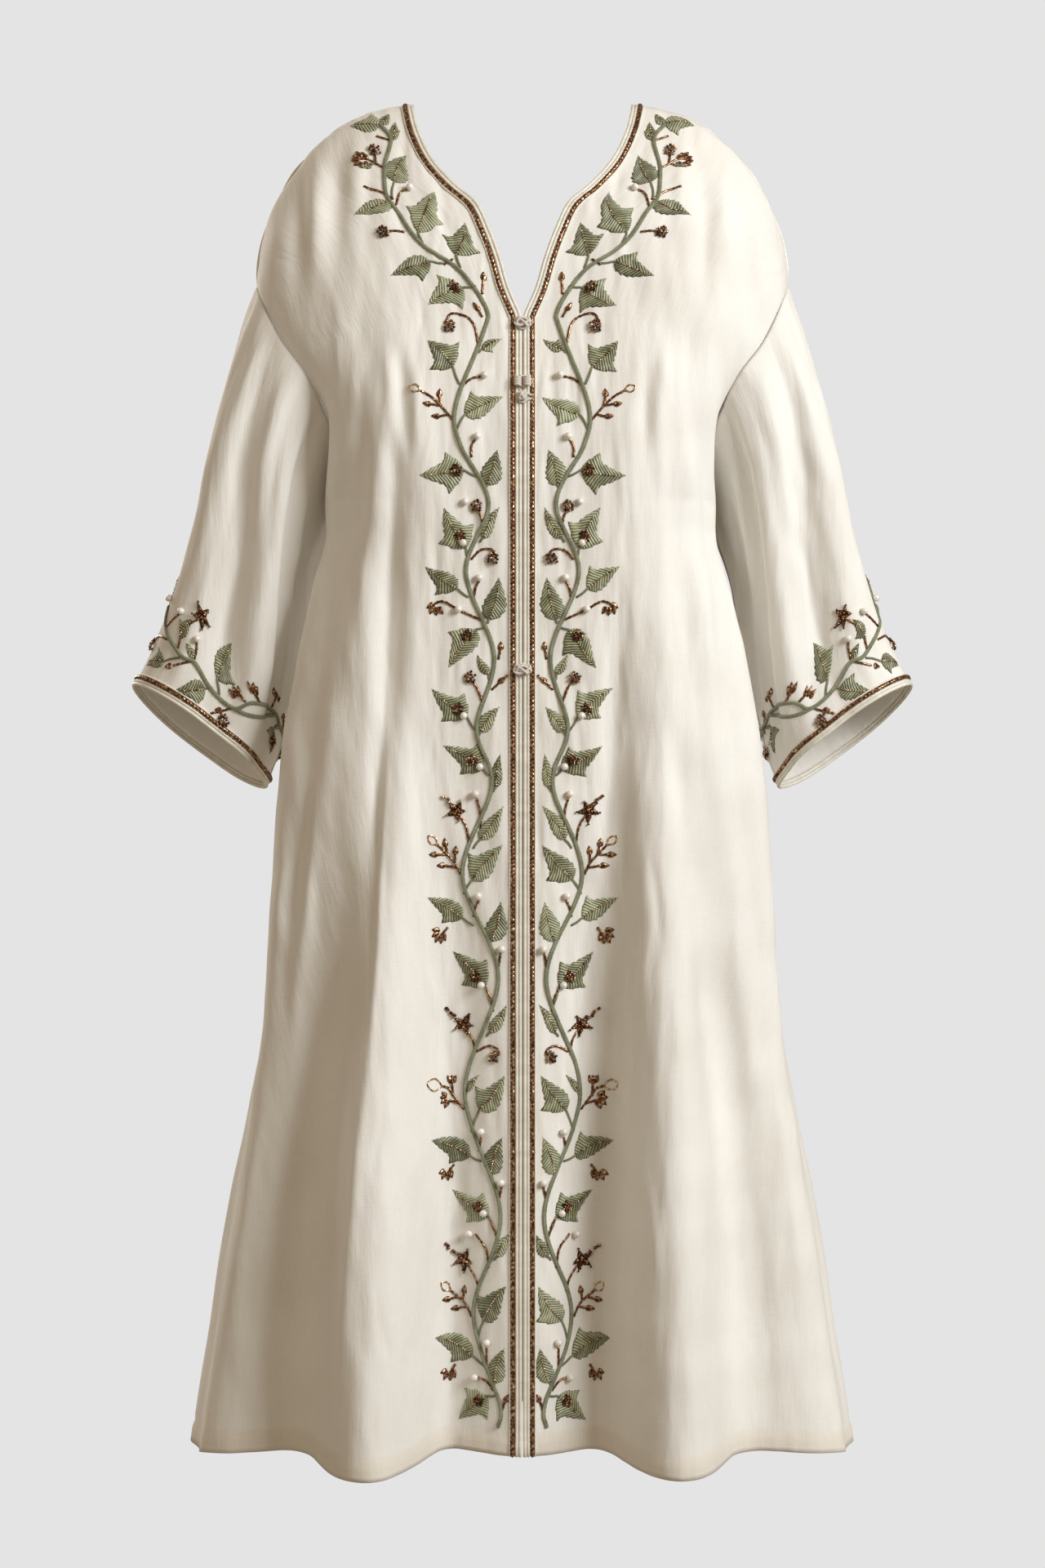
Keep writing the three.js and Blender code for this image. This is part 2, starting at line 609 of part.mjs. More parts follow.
// A closed wall: the sheet itself outside, the sheet moved in by the cloth's thickness, and a rim. Each
// rim face is split from its higher outer point, so that rims on both sides of a seam match.
function wallGeometry(sheet, thickness) {
  const count = sheet.points.length;
  const inner = sheet.points.map((p, n) => p.clone().addScaledVector(sheet.normals[n], -thickness));
  const positions = [...sheet.points, ...inner].flatMap((p) => [p.x, p.y, p.z]);
  const index = [];
  const quad = (a, b, c, d) => index.push(a, b, c, a, c, d);
  const edges = new Set();
  for (const [a, b, c, d] of sheet.faces) {
    quad(a, d, c, b);
    quad(a + count, b + count, c + count, d + count);
    for (const [p, q] of [[a, b], [b, c], [c, d], [d, a]]) edges.add(`${p},${q}`);
  }
  for (const edge of edges) {
    const [p, q] = edge.split(',').map(Number);
    if (edges.has(`${q},${p}`)) continue;
    if (sheet.points[p].z > sheet.points[q].z) quad(p, q, q + count, p + count);
    else quad(q, q + count, p + count, p);
  }
  return geometryOf(positions, index);
}

function geometryOf(positions, index) {
  const geometry = new THREE.BufferGeometry();
  geometry.setAttribute('position', new THREE.Float32BufferAttribute(positions, 3));
  geometry.setIndex(index);
  geometry.computeVertexNormals();
  return geometry;
}

// A bar with a given section carried along frames. Each frame has a centre and two directions, and the
// section's points are measured along them. turned says that the section runs the other way round.
function barGeometry(frames, section, closed, turned) {
  const positions = [];
  for (const { centre, across, up } of frames) {
    for (const [a, u] of section) {
      const p = centre.clone().addScaledVector(across, a).addScaledVector(up, u);
      positions.push(p.x, p.y, p.z);
    }
  }
  const sides = section.length;
  const index = [];
  const add = (a, b, c) => index.push(...(turned ? [a, c, b] : [a, b, c]));
  const count = frames.length;
  for (let f = 0; f < (closed ? count : count - 1); f++) {
    const next = (f + 1) % count;
    for (let s = 0; s < sides; s++) {
      const t = (s + 1) % sides;
      add(f * sides + s, f * sides + t, next * sides + t);
      add(f * sides + s, next * sides + t, next * sides + s);
    }
  }
  if (!closed) {
    const last = (count - 1) * sides;
    for (let s = 1; s + 1 < sides; s++) {
      add(0, s + 1, s);
      add(last, last + s, last + s + 1);
    }
  }
  return geometryOf(positions, index);
}

// Double piping: two round ridges side by side, over a flat back
function pipingSection(wide) {
  return [
    [0, -PIPING_SUNK],
    [wide, -PIPING_SUNK],
    [wide, PIPING_CROWN - PIPING_ROUNDING],
    [wide * 0.75, PIPING_CROWN],
    [wide * 0.5, PIPING_CROWN - PIPING_ROUNDING],
    [wide * 0.25, PIPING_CROWN],
    [0, PIPING_CROWN - PIPING_ROUNDING],
  ];
}

function roundSection(radius, sides) {
  const section = [];
  for (let i = 0; i < sides; i++) {
    const angle = (2 * Math.PI * (i + 0.5)) / sides;
    section.push([radius * Math.cos(angle), radius * Math.sin(angle)]);
  }
  return section;
}

// A frame at a point: across lies in the cloth and up stands out of it
function frameAt(centre, across, up) {
  const flat = across.clone().addScaledVector(up, -across.dot(up)).normalize();
  return { centre: centre.clone(), across: flat, up: up.clone() };
}

const moveFrame = (frame, across, up) => ({
  ...frame,
  centre: frame.centre.clone().addScaledVector(frame.across, across).addScaledVector(frame.up, up),
});

// An end frame stops short of the seam it comes to, so that trims don't touch across it
function drawBack(end, neighbour) {
  const onwards = neighbour.centre.clone().sub(end.centre).normalize();
  end.centre.addScaledVector(onwards, EDGING_GAP);
}

meetAtSeams(Object.values(sheets));

const dress = new THREE.Group();
function addMesh(name, geometry, colour, roughness, metalness = 0) {
  const material = new THREE.MeshStandardMaterial({ color: colour, roughness, metalness });
  const mesh = new THREE.Mesh(geometry, material);
  mesh.name = name;
  dress.add(mesh);
}

for (const [name, sheet] of Object.entries(sheets)) {
  addMesh(name, wallGeometry(sheet, CLOTH), COLOURS.cloth, 0.85);
}

// Edging lies between the finished edge and the cloth, and a round braid lies on the cloth beside it.
// The frames run along the edge of the cloth, with across pointing into the cloth.
function addTrim(names, frames, edgingWide, closed, turned) {
  const wide = edgingWide - EDGING_GAP;
  const edging = frames.map((frame) => moveFrame(frame, -edgingWide, 0));
  const braid = frames.map((frame) => moveFrame(frame, BRAID_FROM_EDGE, BRAID_LIFT + BRAID_RADIUS));
  for (const line of closed ? [] : [edging, braid]) {
    drawBack(line[0], line[1]);
    drawBack(line[line.length - 1], line[line.length - 2]);
  }
  addMesh(names.edging, barGeometry(edging, pipingSection(wide), closed, turned), COLOURS.edging, 0.7);
  const cord = barGeometry(braid, roundSection(BRAID_RADIUS, 5), closed, turned);
  addMesh(names.braid, cord, COLOURS.braid, 0.45, 0.7);
}

// Frames down the inner edge of a front or of half of the back
function edgeFrames(rows, normalOf, away, lastRow, mirrored) {
  const frames = [];
  for (let r = 0; r <= lastRow; r++) {
    const across = away(STATIONS[r]);
    if (mirrored) across.x = -across.x;
    frames.push(frameAt(rows[r][0], across, normalOf(r)));
  }
  return frames;
}

const frontFrames = {};
for (const side of ['right', 'left']) {
  const normals = sheets[`front_${side}`].normals;
  const normalOf = (r) => normals[r * (HALF_COLUMNS + 1)];
  frontFrames[side] = edgeFrames(frontRows[side], normalOf, frontAway, LAST_ROW, side === 'left');
  const names = { edging: `edging_${side}`, braid: `braid_${side}` };
  addTrim(names, frontFrames[side], EDGING_WIDE, false, side === 'right');
}

// The back neck edging runs down the right half of the neckline and up the left half
const backFrames = ['right', 'left'].map((side) => {
  const normalOf = (r) => sheets.back.normals[sheets.back.numbers[side][r][0]];
  return edgeFrames(backRows[side], normalOf, backAway, NECK_ROWS, side === 'left');
});
const backLine = [...backFrames[0], ...backFrames[1].reverse().slice(1)];
addTrim({ edging: 'edging_back_neck', braid: 'braid_back_neck' }, backLine, EDGING_WIDE, false, false);

// Cuff trims run round the last ring of each sleeve
for (const side of ['right', 'left']) {
  const sheet = sheets[`sleeve_${side}`];
  const ring = rings[side][SLEEVE_RINGS];
  const before = rings[side][SLEEVE_RINGS - 1];
  const first = SLEEVE_RINGS * ring.length;
  const frames = ring.map((p, i) => frameAt(p, before[i].clone().sub(p), sheet.normals[first + i]));
  const names = { edging: `cuff_edging_${side}`, braid: `cuff_braid_${side}` };
  addTrim(names, frames, CUFF_EDGING_WIDE, true, side === 'left');
}

// A button is a knot of cord, a little flattened. Its lobes are the turns of the cord.
function knotGeometry(centre, up) {
  const side = new THREE.Vector3(1, 0, 0);
  const along = side.clone().cross(up);
  const positions = [];
  const index = [];
  const add = (a, u, v) => {
    const p = centre.clone().addScaledVector(side, a).addScaledVector(along, u).addScaledVector(up, v);
    positions.push(p.x, p.y, p.z);
  };
  add(0, 0, -KNOT_RADIUS * KNOT_FLATNESS);
  for (const degrees of KNOT_LATITUDES) {
    const latitude = (degrees * Math.PI) / 180;
    const height = KNOT_RADIUS * KNOT_FLATNESS * Math.sin(latitude);
    for (let i = 0; i < KNOT_SIDES; i++) {
      const angle = (2 * Math.PI * i) / KNOT_SIDES;
      const radius = KNOT_RADIUS * Math.cos(latitude) * (i % 2 ? KNOT_GROOVE : 1);
      add(radius * Math.cos(angle), radius * Math.sin(angle), height);
    }
  }
  add(0, 0, KNOT_RADIUS * KNOT_FLATNESS);
  const last = 1 + KNOT_LATITUDES.length * KNOT_SIDES;
  for (let i = 0; i < KNOT_SIDES; i++) {
    const j = (i + 1) % KNOT_SIDES;
    index.push(0, 1 + i, 1 + j);
    for (let k = 0; k + 1 < KNOT_LATITUDES.length; k++) {
      const low = 1 + k * KNOT_SIDES;
      const high = low + KNOT_SIDES;
      index.push(low + i, high + j, low + j);
      index.push(low + i, high + i, high + j);
    }
    index.push(last, last - KNOT_SIDES + j, last - KNOT_SIDES + i);
  }
  return geometryOf(positions, index);
}

// A loop of cord starts on the left edging, goes round the button and comes back beside itself
function loopFrames(centre, up) {
  const side = new THREE.Vector3(1, 0, 0);
  const along = side.clone().cross(up);
  const radius = KNOT_RADIUS + EDGING_GAP + LOOP_CORD_RADIUS;
  const path = [[LOOP_REACH, LOOP_ENDS_APART / 2]];
  for (let i = 0; i <= LOOP_TURN_STEPS; i++) {
    const degrees = mix(LOOP_TURN_FROM, 360 - LOOP_TURN_FROM, i / LOOP_TURN_STEPS);
    const angle = (degrees * Math.PI) / 180;
    path.push([radius * Math.cos(angle), radius * Math.sin(angle)]);
  }
  path.push([LOOP_REACH, -LOOP_ENDS_APART / 2]);
  const points = path.map(([a, u]) => centre.clone().addScaledVector(side, a).addScaledVector(along, u));
  return points.map((p, i) => {
    const next = points[Math.min(points.length - 1, i + 1)];
    const way = next.clone().sub(points[Math.max(0, i - 1)]);
    return { centre: p, across: up.clone().cross(way).normalize(), up: up.clone() };
  });
}

// Closures lie on the crowns of both edgings, at the middle line
for (const closure of CLOSURES) {
  let row = NECK_ROWS;
  while (frontFrames.right[row + 1].centre.z > -closure.down) row++;
  const above = frontFrames.right[row];
  const below = frontFrames.right[row + 1];
  const share = (above.centre.z + closure.down) / (above.centre.z - below.centre.z);
  const edge = above.centre.clone().lerp(below.centre, share);
  const way = below.centre.clone().sub(above.centre);
  const up = new THREE.Vector3(0, way.z, -way.y).normalize();
  const seat = new THREE.Vector3(0, edge.y, edge.z).addScaledVector(up, PIPING_CROWN + CLOSURE_LIFT);
  const button = seat.clone().addScaledVector(up, KNOT_RADIUS * KNOT_FLATNESS);
  addMesh(`button_${closure.name}`, knotGeometry(button, up), COLOURS.knot, 0.7);
  const frames = loopFrames(seat.clone().addScaledVector(up, LOOP_CORD_RADIUS), up);
  const loop = barGeometry(frames, roundSection(LOOP_CORD_RADIUS, 5), false, false);
  addMesh(`loop_${closure.name}`, loop, COLOURS.knot, 0.7);
}

export default dress;
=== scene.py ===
# A cream kaftan dress with green vine embroidery, metal-thread braid and knot closures, filled out as worn.
# Metres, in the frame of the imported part: +Z up, the front towards -Y and the wearer's right side at -X.
import math

import bpy
import numpy as np
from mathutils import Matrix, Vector


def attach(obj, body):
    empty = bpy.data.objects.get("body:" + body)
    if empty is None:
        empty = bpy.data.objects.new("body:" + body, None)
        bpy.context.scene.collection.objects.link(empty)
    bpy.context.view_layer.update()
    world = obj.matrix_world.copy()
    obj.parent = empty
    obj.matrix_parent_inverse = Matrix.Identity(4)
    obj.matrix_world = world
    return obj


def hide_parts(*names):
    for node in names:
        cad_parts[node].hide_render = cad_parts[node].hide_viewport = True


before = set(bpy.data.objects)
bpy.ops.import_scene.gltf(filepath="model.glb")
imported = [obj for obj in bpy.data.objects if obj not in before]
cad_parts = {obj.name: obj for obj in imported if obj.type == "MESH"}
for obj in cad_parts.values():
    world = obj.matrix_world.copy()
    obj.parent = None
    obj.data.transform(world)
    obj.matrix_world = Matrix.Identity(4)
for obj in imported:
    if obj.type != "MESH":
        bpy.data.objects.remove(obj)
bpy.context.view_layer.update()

# Studio
# A pale round sweep stands about the dress. It glows instead of being lit: an even grey as the camera sees
# it, and a warm painted glow on the dress. A large soft light is high on the right of the camera, a weaker
# one on the left and one behind. The camera looks level at the dress's middle.
CAMERA_PLACE = (0, -2.8, -0.625)
CAMERA_HEIGHT_ANGLE = math.radians(28.9)
CAMERA_SENSOR = 36
FLOOR_LEVEL = -1.75
FLOOR_RINGS = (0.02, 1.5)
FLOOR_RADIUS = 3.4
SWEEP_RADIUS = 1.0
SWEEP_TOP = 3.5
SWEEP_STEPS_UP = 13
SWEEP_STEPS_ROUND = 96
# The board as the camera sees it, the glow that it gives to the dress, and the light from all round
SWEEP_SEEN = (0.775, 0.775, 0.775, 1)
SWEEP_GLOW = (0.28, 0.23, 0.17, 1)
WORLD_LIGHT = (0.38, 0.298, 0.20, 1)
# Each light: its name, place, width and height, power and colour
LIGHTS = (
    ("key", (2.75, -2.4, 1.1), (1.6, 1.6), 146, (0.95, 0.98, 1.0)),
    ("fill", (-2.6, -2.2, 0.2), (2.2, 2.6), 9, (1.0, 0.86, 0.70)),
    ("back", (-1.8, 2.4, 0.6), (2.0, 1.6), 48, (1.0, 0.97, 0.93)),
)
LIGHT_AIM = (0, 0, -0.6)

lens = bpy.data.cameras.new("camera")
lens.sensor_width = CAMERA_SENSOR
lens.lens = CAMERA_SENSOR / 2 / math.tan(CAMERA_HEIGHT_ANGLE / 2)
camera = bpy.data.objects.new("camera", lens)
camera.location = CAMERA_PLACE
camera.rotation_euler = (math.radians(90), 0, 0)
bpy.context.scene.collection.objects.link(camera)
bpy.context.scene.camera = camera
bpy.context.scene.view_settings.view_transform = "Standard"

for name, place, size, power, colour in LIGHTS:
    lamp = bpy.data.lights.new(name, "AREA")
    lamp.shape = "RECTANGLE"
    lamp.size, lamp.size_y = size
    lamp.energy = power
    lamp.color = colour
    light = bpy.data.objects.new(name, lamp)
    light.location = place
    from_dress = light.location - Vector(LIGHT_AIM)
    light.rotation_euler = from_dress.to_track_quat("Z", "Y").to_euler()
    bpy.context.scene.collection.objects.link(light)

world = bpy.data.worlds.new("studio")
world.use_nodes = True
world.node_tree.nodes["Background"].inputs["Color"].default_value = WORLD_LIGHT
bpy.context.scene.world = world


def grid_faces(rows, columns, wrap_rows=False, wrap_columns=False):
    """Corners of the four-sided faces of a grid whose points are numbered row by row. A wrapped side
    joins the last line of points to the first."""
    r = np.arange(rows if wrap_rows else rows - 1)[:, None]
    c = np.arange(columns if wrap_columns else columns - 1)[None, :]
    below = (r + 1) % rows
    beside = (c + 1) % columns
    corners = [r * columns + c, r * columns + beside, below * columns + beside, below * columns + c]
    return np.stack(np.broadcast_arrays(*corners), axis=-1).reshape(-1, 4)


def make_object(name, parts, material):
    """A smooth-shaded mesh object at the origin. Each part is its points, its four-sided faces, its
    three-sided ones or None, its points' places on the flat piece in metres, and a shade that its
    material reads to vary its colour."""
    points, quads, tips, uv, shade = [], [], [], [], []
    count = 0
    for part_points, part_quads, part_tips, part_uv, part_shade in parts:
        points.append(part_points)
        quads.append(part_quads + count)
        if part_tips is not None:
            tips.append(part_tips + count)
        uv.append(part_uv)
        shade.append(part_shade)
        count += len(part_points)
    corners = np.concatenate([group.ravel() for group in quads + tips])
    sizes = np.repeat((4, 3), (sum(map(len, quads)), sum(map(len, tips))))
    mesh = bpy.data.meshes.new(name)
    mesh.vertices.add(count)
    mesh.vertices.foreach_set("co", np.concatenate(points).astype(np.float32).ravel())
    mesh.loops.add(len(corners))
    mesh.loops.foreach_set("vertex_index", corners.astype(np.int32))
    mesh.polygons.add(len(sizes))
    mesh.polygons.foreach_set("loop_start", (np.cumsum(sizes) - sizes).astype(np.int32))
    mesh.update(calc_edges=True)
    mesh.polygons.foreach_set("use_smooth", np.ones(len(sizes), dtype=bool))
    places = np.concatenate(uv)[corners].astype(np.float32)
    mesh.uv_layers.new(name="cloth").data.foreach_set("uv", places.ravel())
    shades = np.concatenate(shade).astype(np.float32)
    mesh.attributes.new("shade", "FLOAT", "POINT").data.foreach_set("value", shades)
    mesh.materials.append(material)
    piece = bpy.data.objects.new(name, mesh)
    bpy.context.scene.collection.objects.link(piece)
    return piece


def new_material(name):
    """A new material, with its node tree and its Principled shader."""
    material = bpy.data.materials.new(name)
    material.use_nodes = True
    tree = material.node_tree
    return material, tree, tree.nodes["Principled BSDF"]


def feed(tree, socket, value):
    """Gives an input a fixed value, or joins it to the output of another node."""
    if isinstance(value, bpy.types.NodeSocket):
        tree.links.new(value, socket)
    else:
        socket.default_value = value


def add_node(tree, kind, operation=None, **values):
    """A node of a kind, with its operation and the values of its named or numbered inputs."""
    node = tree.nodes.new(kind)
    if operation:
        node.operation = operation
    for key, value in values.items():
        slot = int(key[1:]) if key[1:].isdigit() else key.replace("_", " ")
        feed(tree, node.inputs[slot], value)
    return node


def colour_mix(tree, factor, first, second, blend="MIX"):
    """Goes from the first colour to the second with a factor. A mix node has its colours at 6 and 7."""
    node = tree.nodes.new("ShaderNodeMix")
    node.data_type = "RGBA"
    node.blend_type = blend
    for slot, value in ((0, factor), (6, first), (7, second)):
        feed(tree, node.inputs[slot], value)
    return node.outputs[2]


sweep_turn = np.linspace(0, math.pi / 2, SWEEP_STEPS_UP)
sweep_profile = np.concatenate(
    [
        [(radius, FLOOR_LEVEL) for radius in FLOOR_RINGS],
        np.stack(
            [
                FLOOR_RADIUS + SWEEP_RADIUS * np.sin(sweep_turn),
                FLOOR_LEVEL + SWEEP_RADIUS * (1 - np.cos(sweep_turn)),
            ],
            axis=-1,
        ),
        [(FLOOR_RADIUS + SWEEP_RADIUS, SWEEP_TOP)],
    ]
)
sweep_angle = np.linspace(0, 2 * math.pi, SWEEP_STEPS_ROUND, endpoint=False)
sweep_points = np.stack(
    [
        sweep_profile[:, :1] * np.cos(sweep_angle),
        sweep_profile[:, :1] * np.sin(sweep_angle),
        np.broadcast_to(sweep_profile[:, 1:], (len(sweep_profile), SWEEP_STEPS_ROUND)),
    ],
    axis=-1,
).reshape(-1, 3)
sweep_points = np.concatenate([sweep_points, [(0, 0, FLOOR_LEVEL)]])
sweep_faces = grid_faces(len(sweep_profile), SWEEP_STEPS_ROUND, wrap_columns=True)
around = np.arange(SWEEP_STEPS_ROUND)
floor_middle = np.stack(
    [np.full(len(around), len(sweep_points) - 1), around, (around + 1) % SWEEP_STEPS_ROUND], axis=-1
)

# The board glows rather than being lit: an even grey to the camera, and a warm painted glow that lights the
# dress
board, board_tree, board_shader = new_material("glowing_board")
board_tree.nodes.remove(board_shader)
camera_ray = add_node(board_tree, "ShaderNodeLightPath").outputs["Is Camera Ray"]
board_glow = colour_mix(board_tree, camera_ray, SWEEP_GLOW, SWEEP_SEEN)
board_light = add_node(board_tree, "ShaderNodeEmission", Color=board_glow)
feed(board_tree, board_tree.nodes["Material Output"].inputs["Surface"], board_light.outputs["Emission"])

sweep = make_object(
    "sweep",
    [(sweep_points, sweep_faces, floor_middle, sweep_points[:, :2], np.zeros(len(sweep_points)))],
    board,
)

# Fronts
# Two long panels of cream plain-woven cloth meet edge to edge down the middle. Each hangs from the bust
# in one great fold, with softer hollows beside it, and ends in a turned-up hem of 19 mm.
CLOTH = 0.0016
EDGING_WIDE = 0.0064
CENTRE_GAP = 0.0005
NECK_HALF = 0.1
SHOULDER_ACROSS = 0.245
SHOULDER_DROP = 0.167
UNDERARM_DOWN = 0.365
UNDERARM_ACROSS = 0.164
UNDERARM_BACK = 0.02
NECK_POINT_DOWN = 0.209
CHEST_ROW_DOWN = 0.375
HEM_DOWN = 1.222
SIDE_HEM_DOWN = 1.231
HEM_TURN_UP = 0.019
PANEL_COLUMNS = 112
NECK_ROWS, CHEST_ROWS, SKIRT_ROWS = ((62, 40, 190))
FINE_SAMPLES = 220


def table(columns, *rows):
    """A table with named columns, a row for each place that the curve passes through."""
    return np.array(list(rows), dtype=[(column, float) for column in columns.split()])


def read(rows, column, at):
    """A column of a table at any places of its first column. Between rows it is a cubic whose slope at
    a row is that of the line from the row before to the row after."""
    key = rows[rows.dtype.names[0]]
    value = rows[column]
    before = np.r_[0, np.arange(len(key) - 1)]
    after = np.r_[np.arange(1, len(key)), len(key) - 1]
    slope = (value[after] - value[before]) / (key[after] - key[before])
    i = np.clip(np.searchsorted(key, at, side="left") - 1, 0, len(key) - 2)
    step = key[i + 1] - key[i]
    t = np.clip((at - key[i]) / step, 0, 1)
    start = (1 + 2 * t) * (1 - t) ** 2
    pull = t * (1 - t) ** 2 * step * slope[i] + t * t * (t - 1) * step * slope[i + 1]
    return start * value[i] + (1 - start) * value[i + 1] + pull


# The finished edge from the shoulder to the point of the neck. A station of 1 is the point of the neck,
# 2 the underarm and 3 the hem.
FRONT_NECK = table(
    "station across forward down",
    (0, NECK_HALF, 0, 0),
    (0.05, 0.0994, 0.017, 0.008),
    (0.125, 0.0935, 0.038, 0.033),
    (0.25, 0.0805, 0.057, 0.062),
    (0.375, 0.0615, 0.070, 0.085),
    (0.5, 0.0408, 0.080, 0.104),
    (0.625, 0.0286, 0.087, 0.130),
    (0.75, 0.0193, 0.093, 0.156),
    (0.875, 0.0116, 0.097, 0.183),
    (1, CENTRE_GAP, 0.101, NECK_POINT_DOWN),
)

# How far the middle stands out on the way down to the hem
FRONT_MIDDLE = table(
    "down forward",
    (0.209, 0.101),
    (0.26, 0.113),
    (0.31, 0.119),
    (0.375, 0.120),
    (0.5, 0.114),
    (0.7, 0.108),
    (0.9, 0.104),
    (HEM_DOWN, 0.100),
)

# The dropped armhole seam, and the side seam below it
FRONT_ARMHOLE = table(
    "station across forward down",
    (0, SHOULDER_ACROSS, 0, SHOULDER_DROP),
    (0.35, 0.237, 0.042, 0.186),
    (0.7, 0.216, 0.063, 0.228),
    (1, 0.193, 0.070, 0.259),
    (1.35, 0.175, 0.048, 0.298),
    (1.7, 0.166, 0.010, 0.340),
    (2, UNDERARM_ACROSS, -UNDERARM_BACK, UNDERARM_DOWN),
)
SIDE_SEAM = table(
    "down across forward",
    (UNDERARM_DOWN, UNDERARM_ACROSS, -UNDERARM_BACK),
    (0.4, 0.161, -0.016),
    (0.44, 0.169, -0.010),
    (0.5, 0.184, -0.002),
    (0.6, 0.205, 0.006),
    (0.715, 0.220, 0.012),
    (0.86, 0.237, 0.018),
    (1.01, 0.262, 0.026),
    (SIDE_HEM_DOWN, 0.294, 0.035),
)

# How far the body's side lies off the seam round the armhole, where rows bend out to it near their ends
BODY_SIDE = table(
    "station across forward down",
    (0.6, 0, 0, 0),
    (1, 0.004, -0.014, -0.003),
    (1.35, 0.009, -0.015, -0.004),
    (1.7, 0.007, 0.002, -0.003),
    (2, 0.003, 0.019, 0),
    (2.06, 0.003, 0.012, 0),
    (2.12, 0.001, 0.004, 0),
    (2.2, 0, 0, 0),
)
SEAM_BEND = 7

# The bend of each row from the middle round to the side, with a swell for the chest
FRONT_SHAPE = table(
    "down across_power forward_power swell",
    (0, 1.05, 1.05, 0),
    (0.09, 1, 1.35, 0.009),
    (0.18, 0.98, 1.5, 0.016),
    (0.26, 0.88, 0.95, 0.018),
    (0.33, 0.76, 0.62, 0.013),
    (0.4, 0.7, 0.52, 0.009),
    (0.48, 0.7, 0.54, 0.006),
    (0.62, 0.76, 0.66, 0.002),
    (0.85, 0.86, 0.86, 0),
    (HEM_DOWN, 0.9, 0.9, 0),
)

# Great folds. top and hem are shares of the way across, and start, full and gone are lengths down from
# the shoulder. depth is negative in a hollow.
STAYS = 9.0
FRONT_FOLDS = table(
    "top hem start full gone depth wide steep",
    (0.5, 0.41, 0.33, 1.12, STAYS, 0.066, 0.115, 0.3),
    (0.22, 0.19, 0.48, 1.12, STAYS, -0.022, 0.11, 0),
    (0.72, 0.68, 0.56, 1.12, STAYS, -0.014, 0.12, 0),
    (0.6, 0.66, 0.3, 0.52, 1.0, 0.007, 0.06, 0.1),
    (0.8, 0.84, 0.175, 0.48, 1.26, 0.020, 0.13, 0.1),
)
LEFT_DEPTH_SHARE = 0.94
LEFT_SHARE_BEGINS = 0.02
LEFT_SHARE_FULL = 0.2
FOLD_DIES_AT_SIDE = 0.9
STEEP_FROM_MIDDLE = 0.1
FOLD_HANGS_LOWER = 0.13
HANG_STATION = 2.4
SHOULDER_TILT = 1.1
CHEST_TILT = 0.1
CHEST_TILT_STATION = 0.7
SHOULDER_SEAM_SLOPE = 0.2
SHOULDER_SEAM_STATION = 0.06


def mix(a, b, t):
    """The value a share t of the way from a to b."""
    return a + (b - a) * t


def ease(start, end, x):
    """A smooth step that is 0 up to start and 1 from end on."""
    t = np.clip((x - start) / (end - start), 0, 1)
    return t * t * (3 - 2 * t)


def unit(v):
    """Vectors at length 1."""
    return v / np.maximum(np.linalg.norm(v, axis=-1, keepdims=True), 1e-12)


def from_table(rows, at):
    """Points of a table on the wearer's right side."""
    return np.stack([-read(rows, part, at) for part in ("across", "forward", "down")], axis=-1)


def middle_down(station, neck_down):
    """How far down the middle line a station lies: the neck's point is 1, the underarm 2, the hem 3."""
    chest = mix(neck_down, CHEST_ROW_DOWN, station - 1)
    skirt = mix(CHEST_ROW_DOWN, HEM_DOWN, station - 2)
    return np.where(station <= 1, neck_down * station, np.where(station <= 2, chest, skirt))


def front_edge(station):
    """The finished front edge: the neckline, then straight down the middle."""
    down = middle_down(station, NECK_POINT_DOWN)
    middle = np.stack([-CENTRE_GAP + 0 * down, -read(FRONT_MIDDLE, "forward", down), -down], axis=-1)
    return np.where(station[:, None] <= 1, from_table(FRONT_NECK, station), middle)


def away_from_edge(edge, facing, station, last):
    """The direction in the cloth that points away from its finished edge: across the edge's own line
    and the way that the cloth faces, or along the shoulder seam where the edge starts."""
    step = 0.01
    along = edge(np.minimum(last, station + step)) - edge(np.maximum(0, station - step))
    tilt = mix(SHOULDER_TILT, CHEST_TILT, ease(0, CHEST_TILT_STATION, station))
    normal = np.stack([0 * tilt, -facing * np.cos(tilt), np.sin(tilt)], axis=-1)
    away = unit(np.cross(along, normal) * facing)
    along_seam = unit(np.array([-1, 0, -SHOULDER_SEAM_SLOPE]))
    return unit(mix(along_seam, away, ease(0, SHOULDER_SEAM_STATION, station)[:, None]))


def front_inner(station):
    """Where the cloth of a front stops and its edging starts."""
    return front_edge(station) + EDGING_WIDE * away_from_edge(front_edge, 1, station, 3)


def outer_line(armhole, station):
    """The armhole seam, then the side seam."""
    down = mix(UNDERARM_DOWN, SIDE_HEM_DOWN, station - 2)
    forward = read(SIDE_SEAM, "forward", down)
    side = np.stack([-read(SIDE_SEAM, "across", down), -forward, -down], axis=-1)
    return np.where(station[:, None] <= 2, from_table(armhole, station), side)


def evenly(rows, pieces):
    """Each row of points again, at equal steps of its own length."""
    result = np.empty((len(rows), pieces + 1, 3))
    share = np.linspace(0, 1, pieces + 1)
    for r, row in enumerate(rows):
        length = np.r_[0, np.cumsum(np.linalg.norm(np.diff(row, axis=0), axis=1))]
        for axis in range(3):
            result[r, :, axis] = np.interp(share * length[-1], length, row[:, axis])
    return result


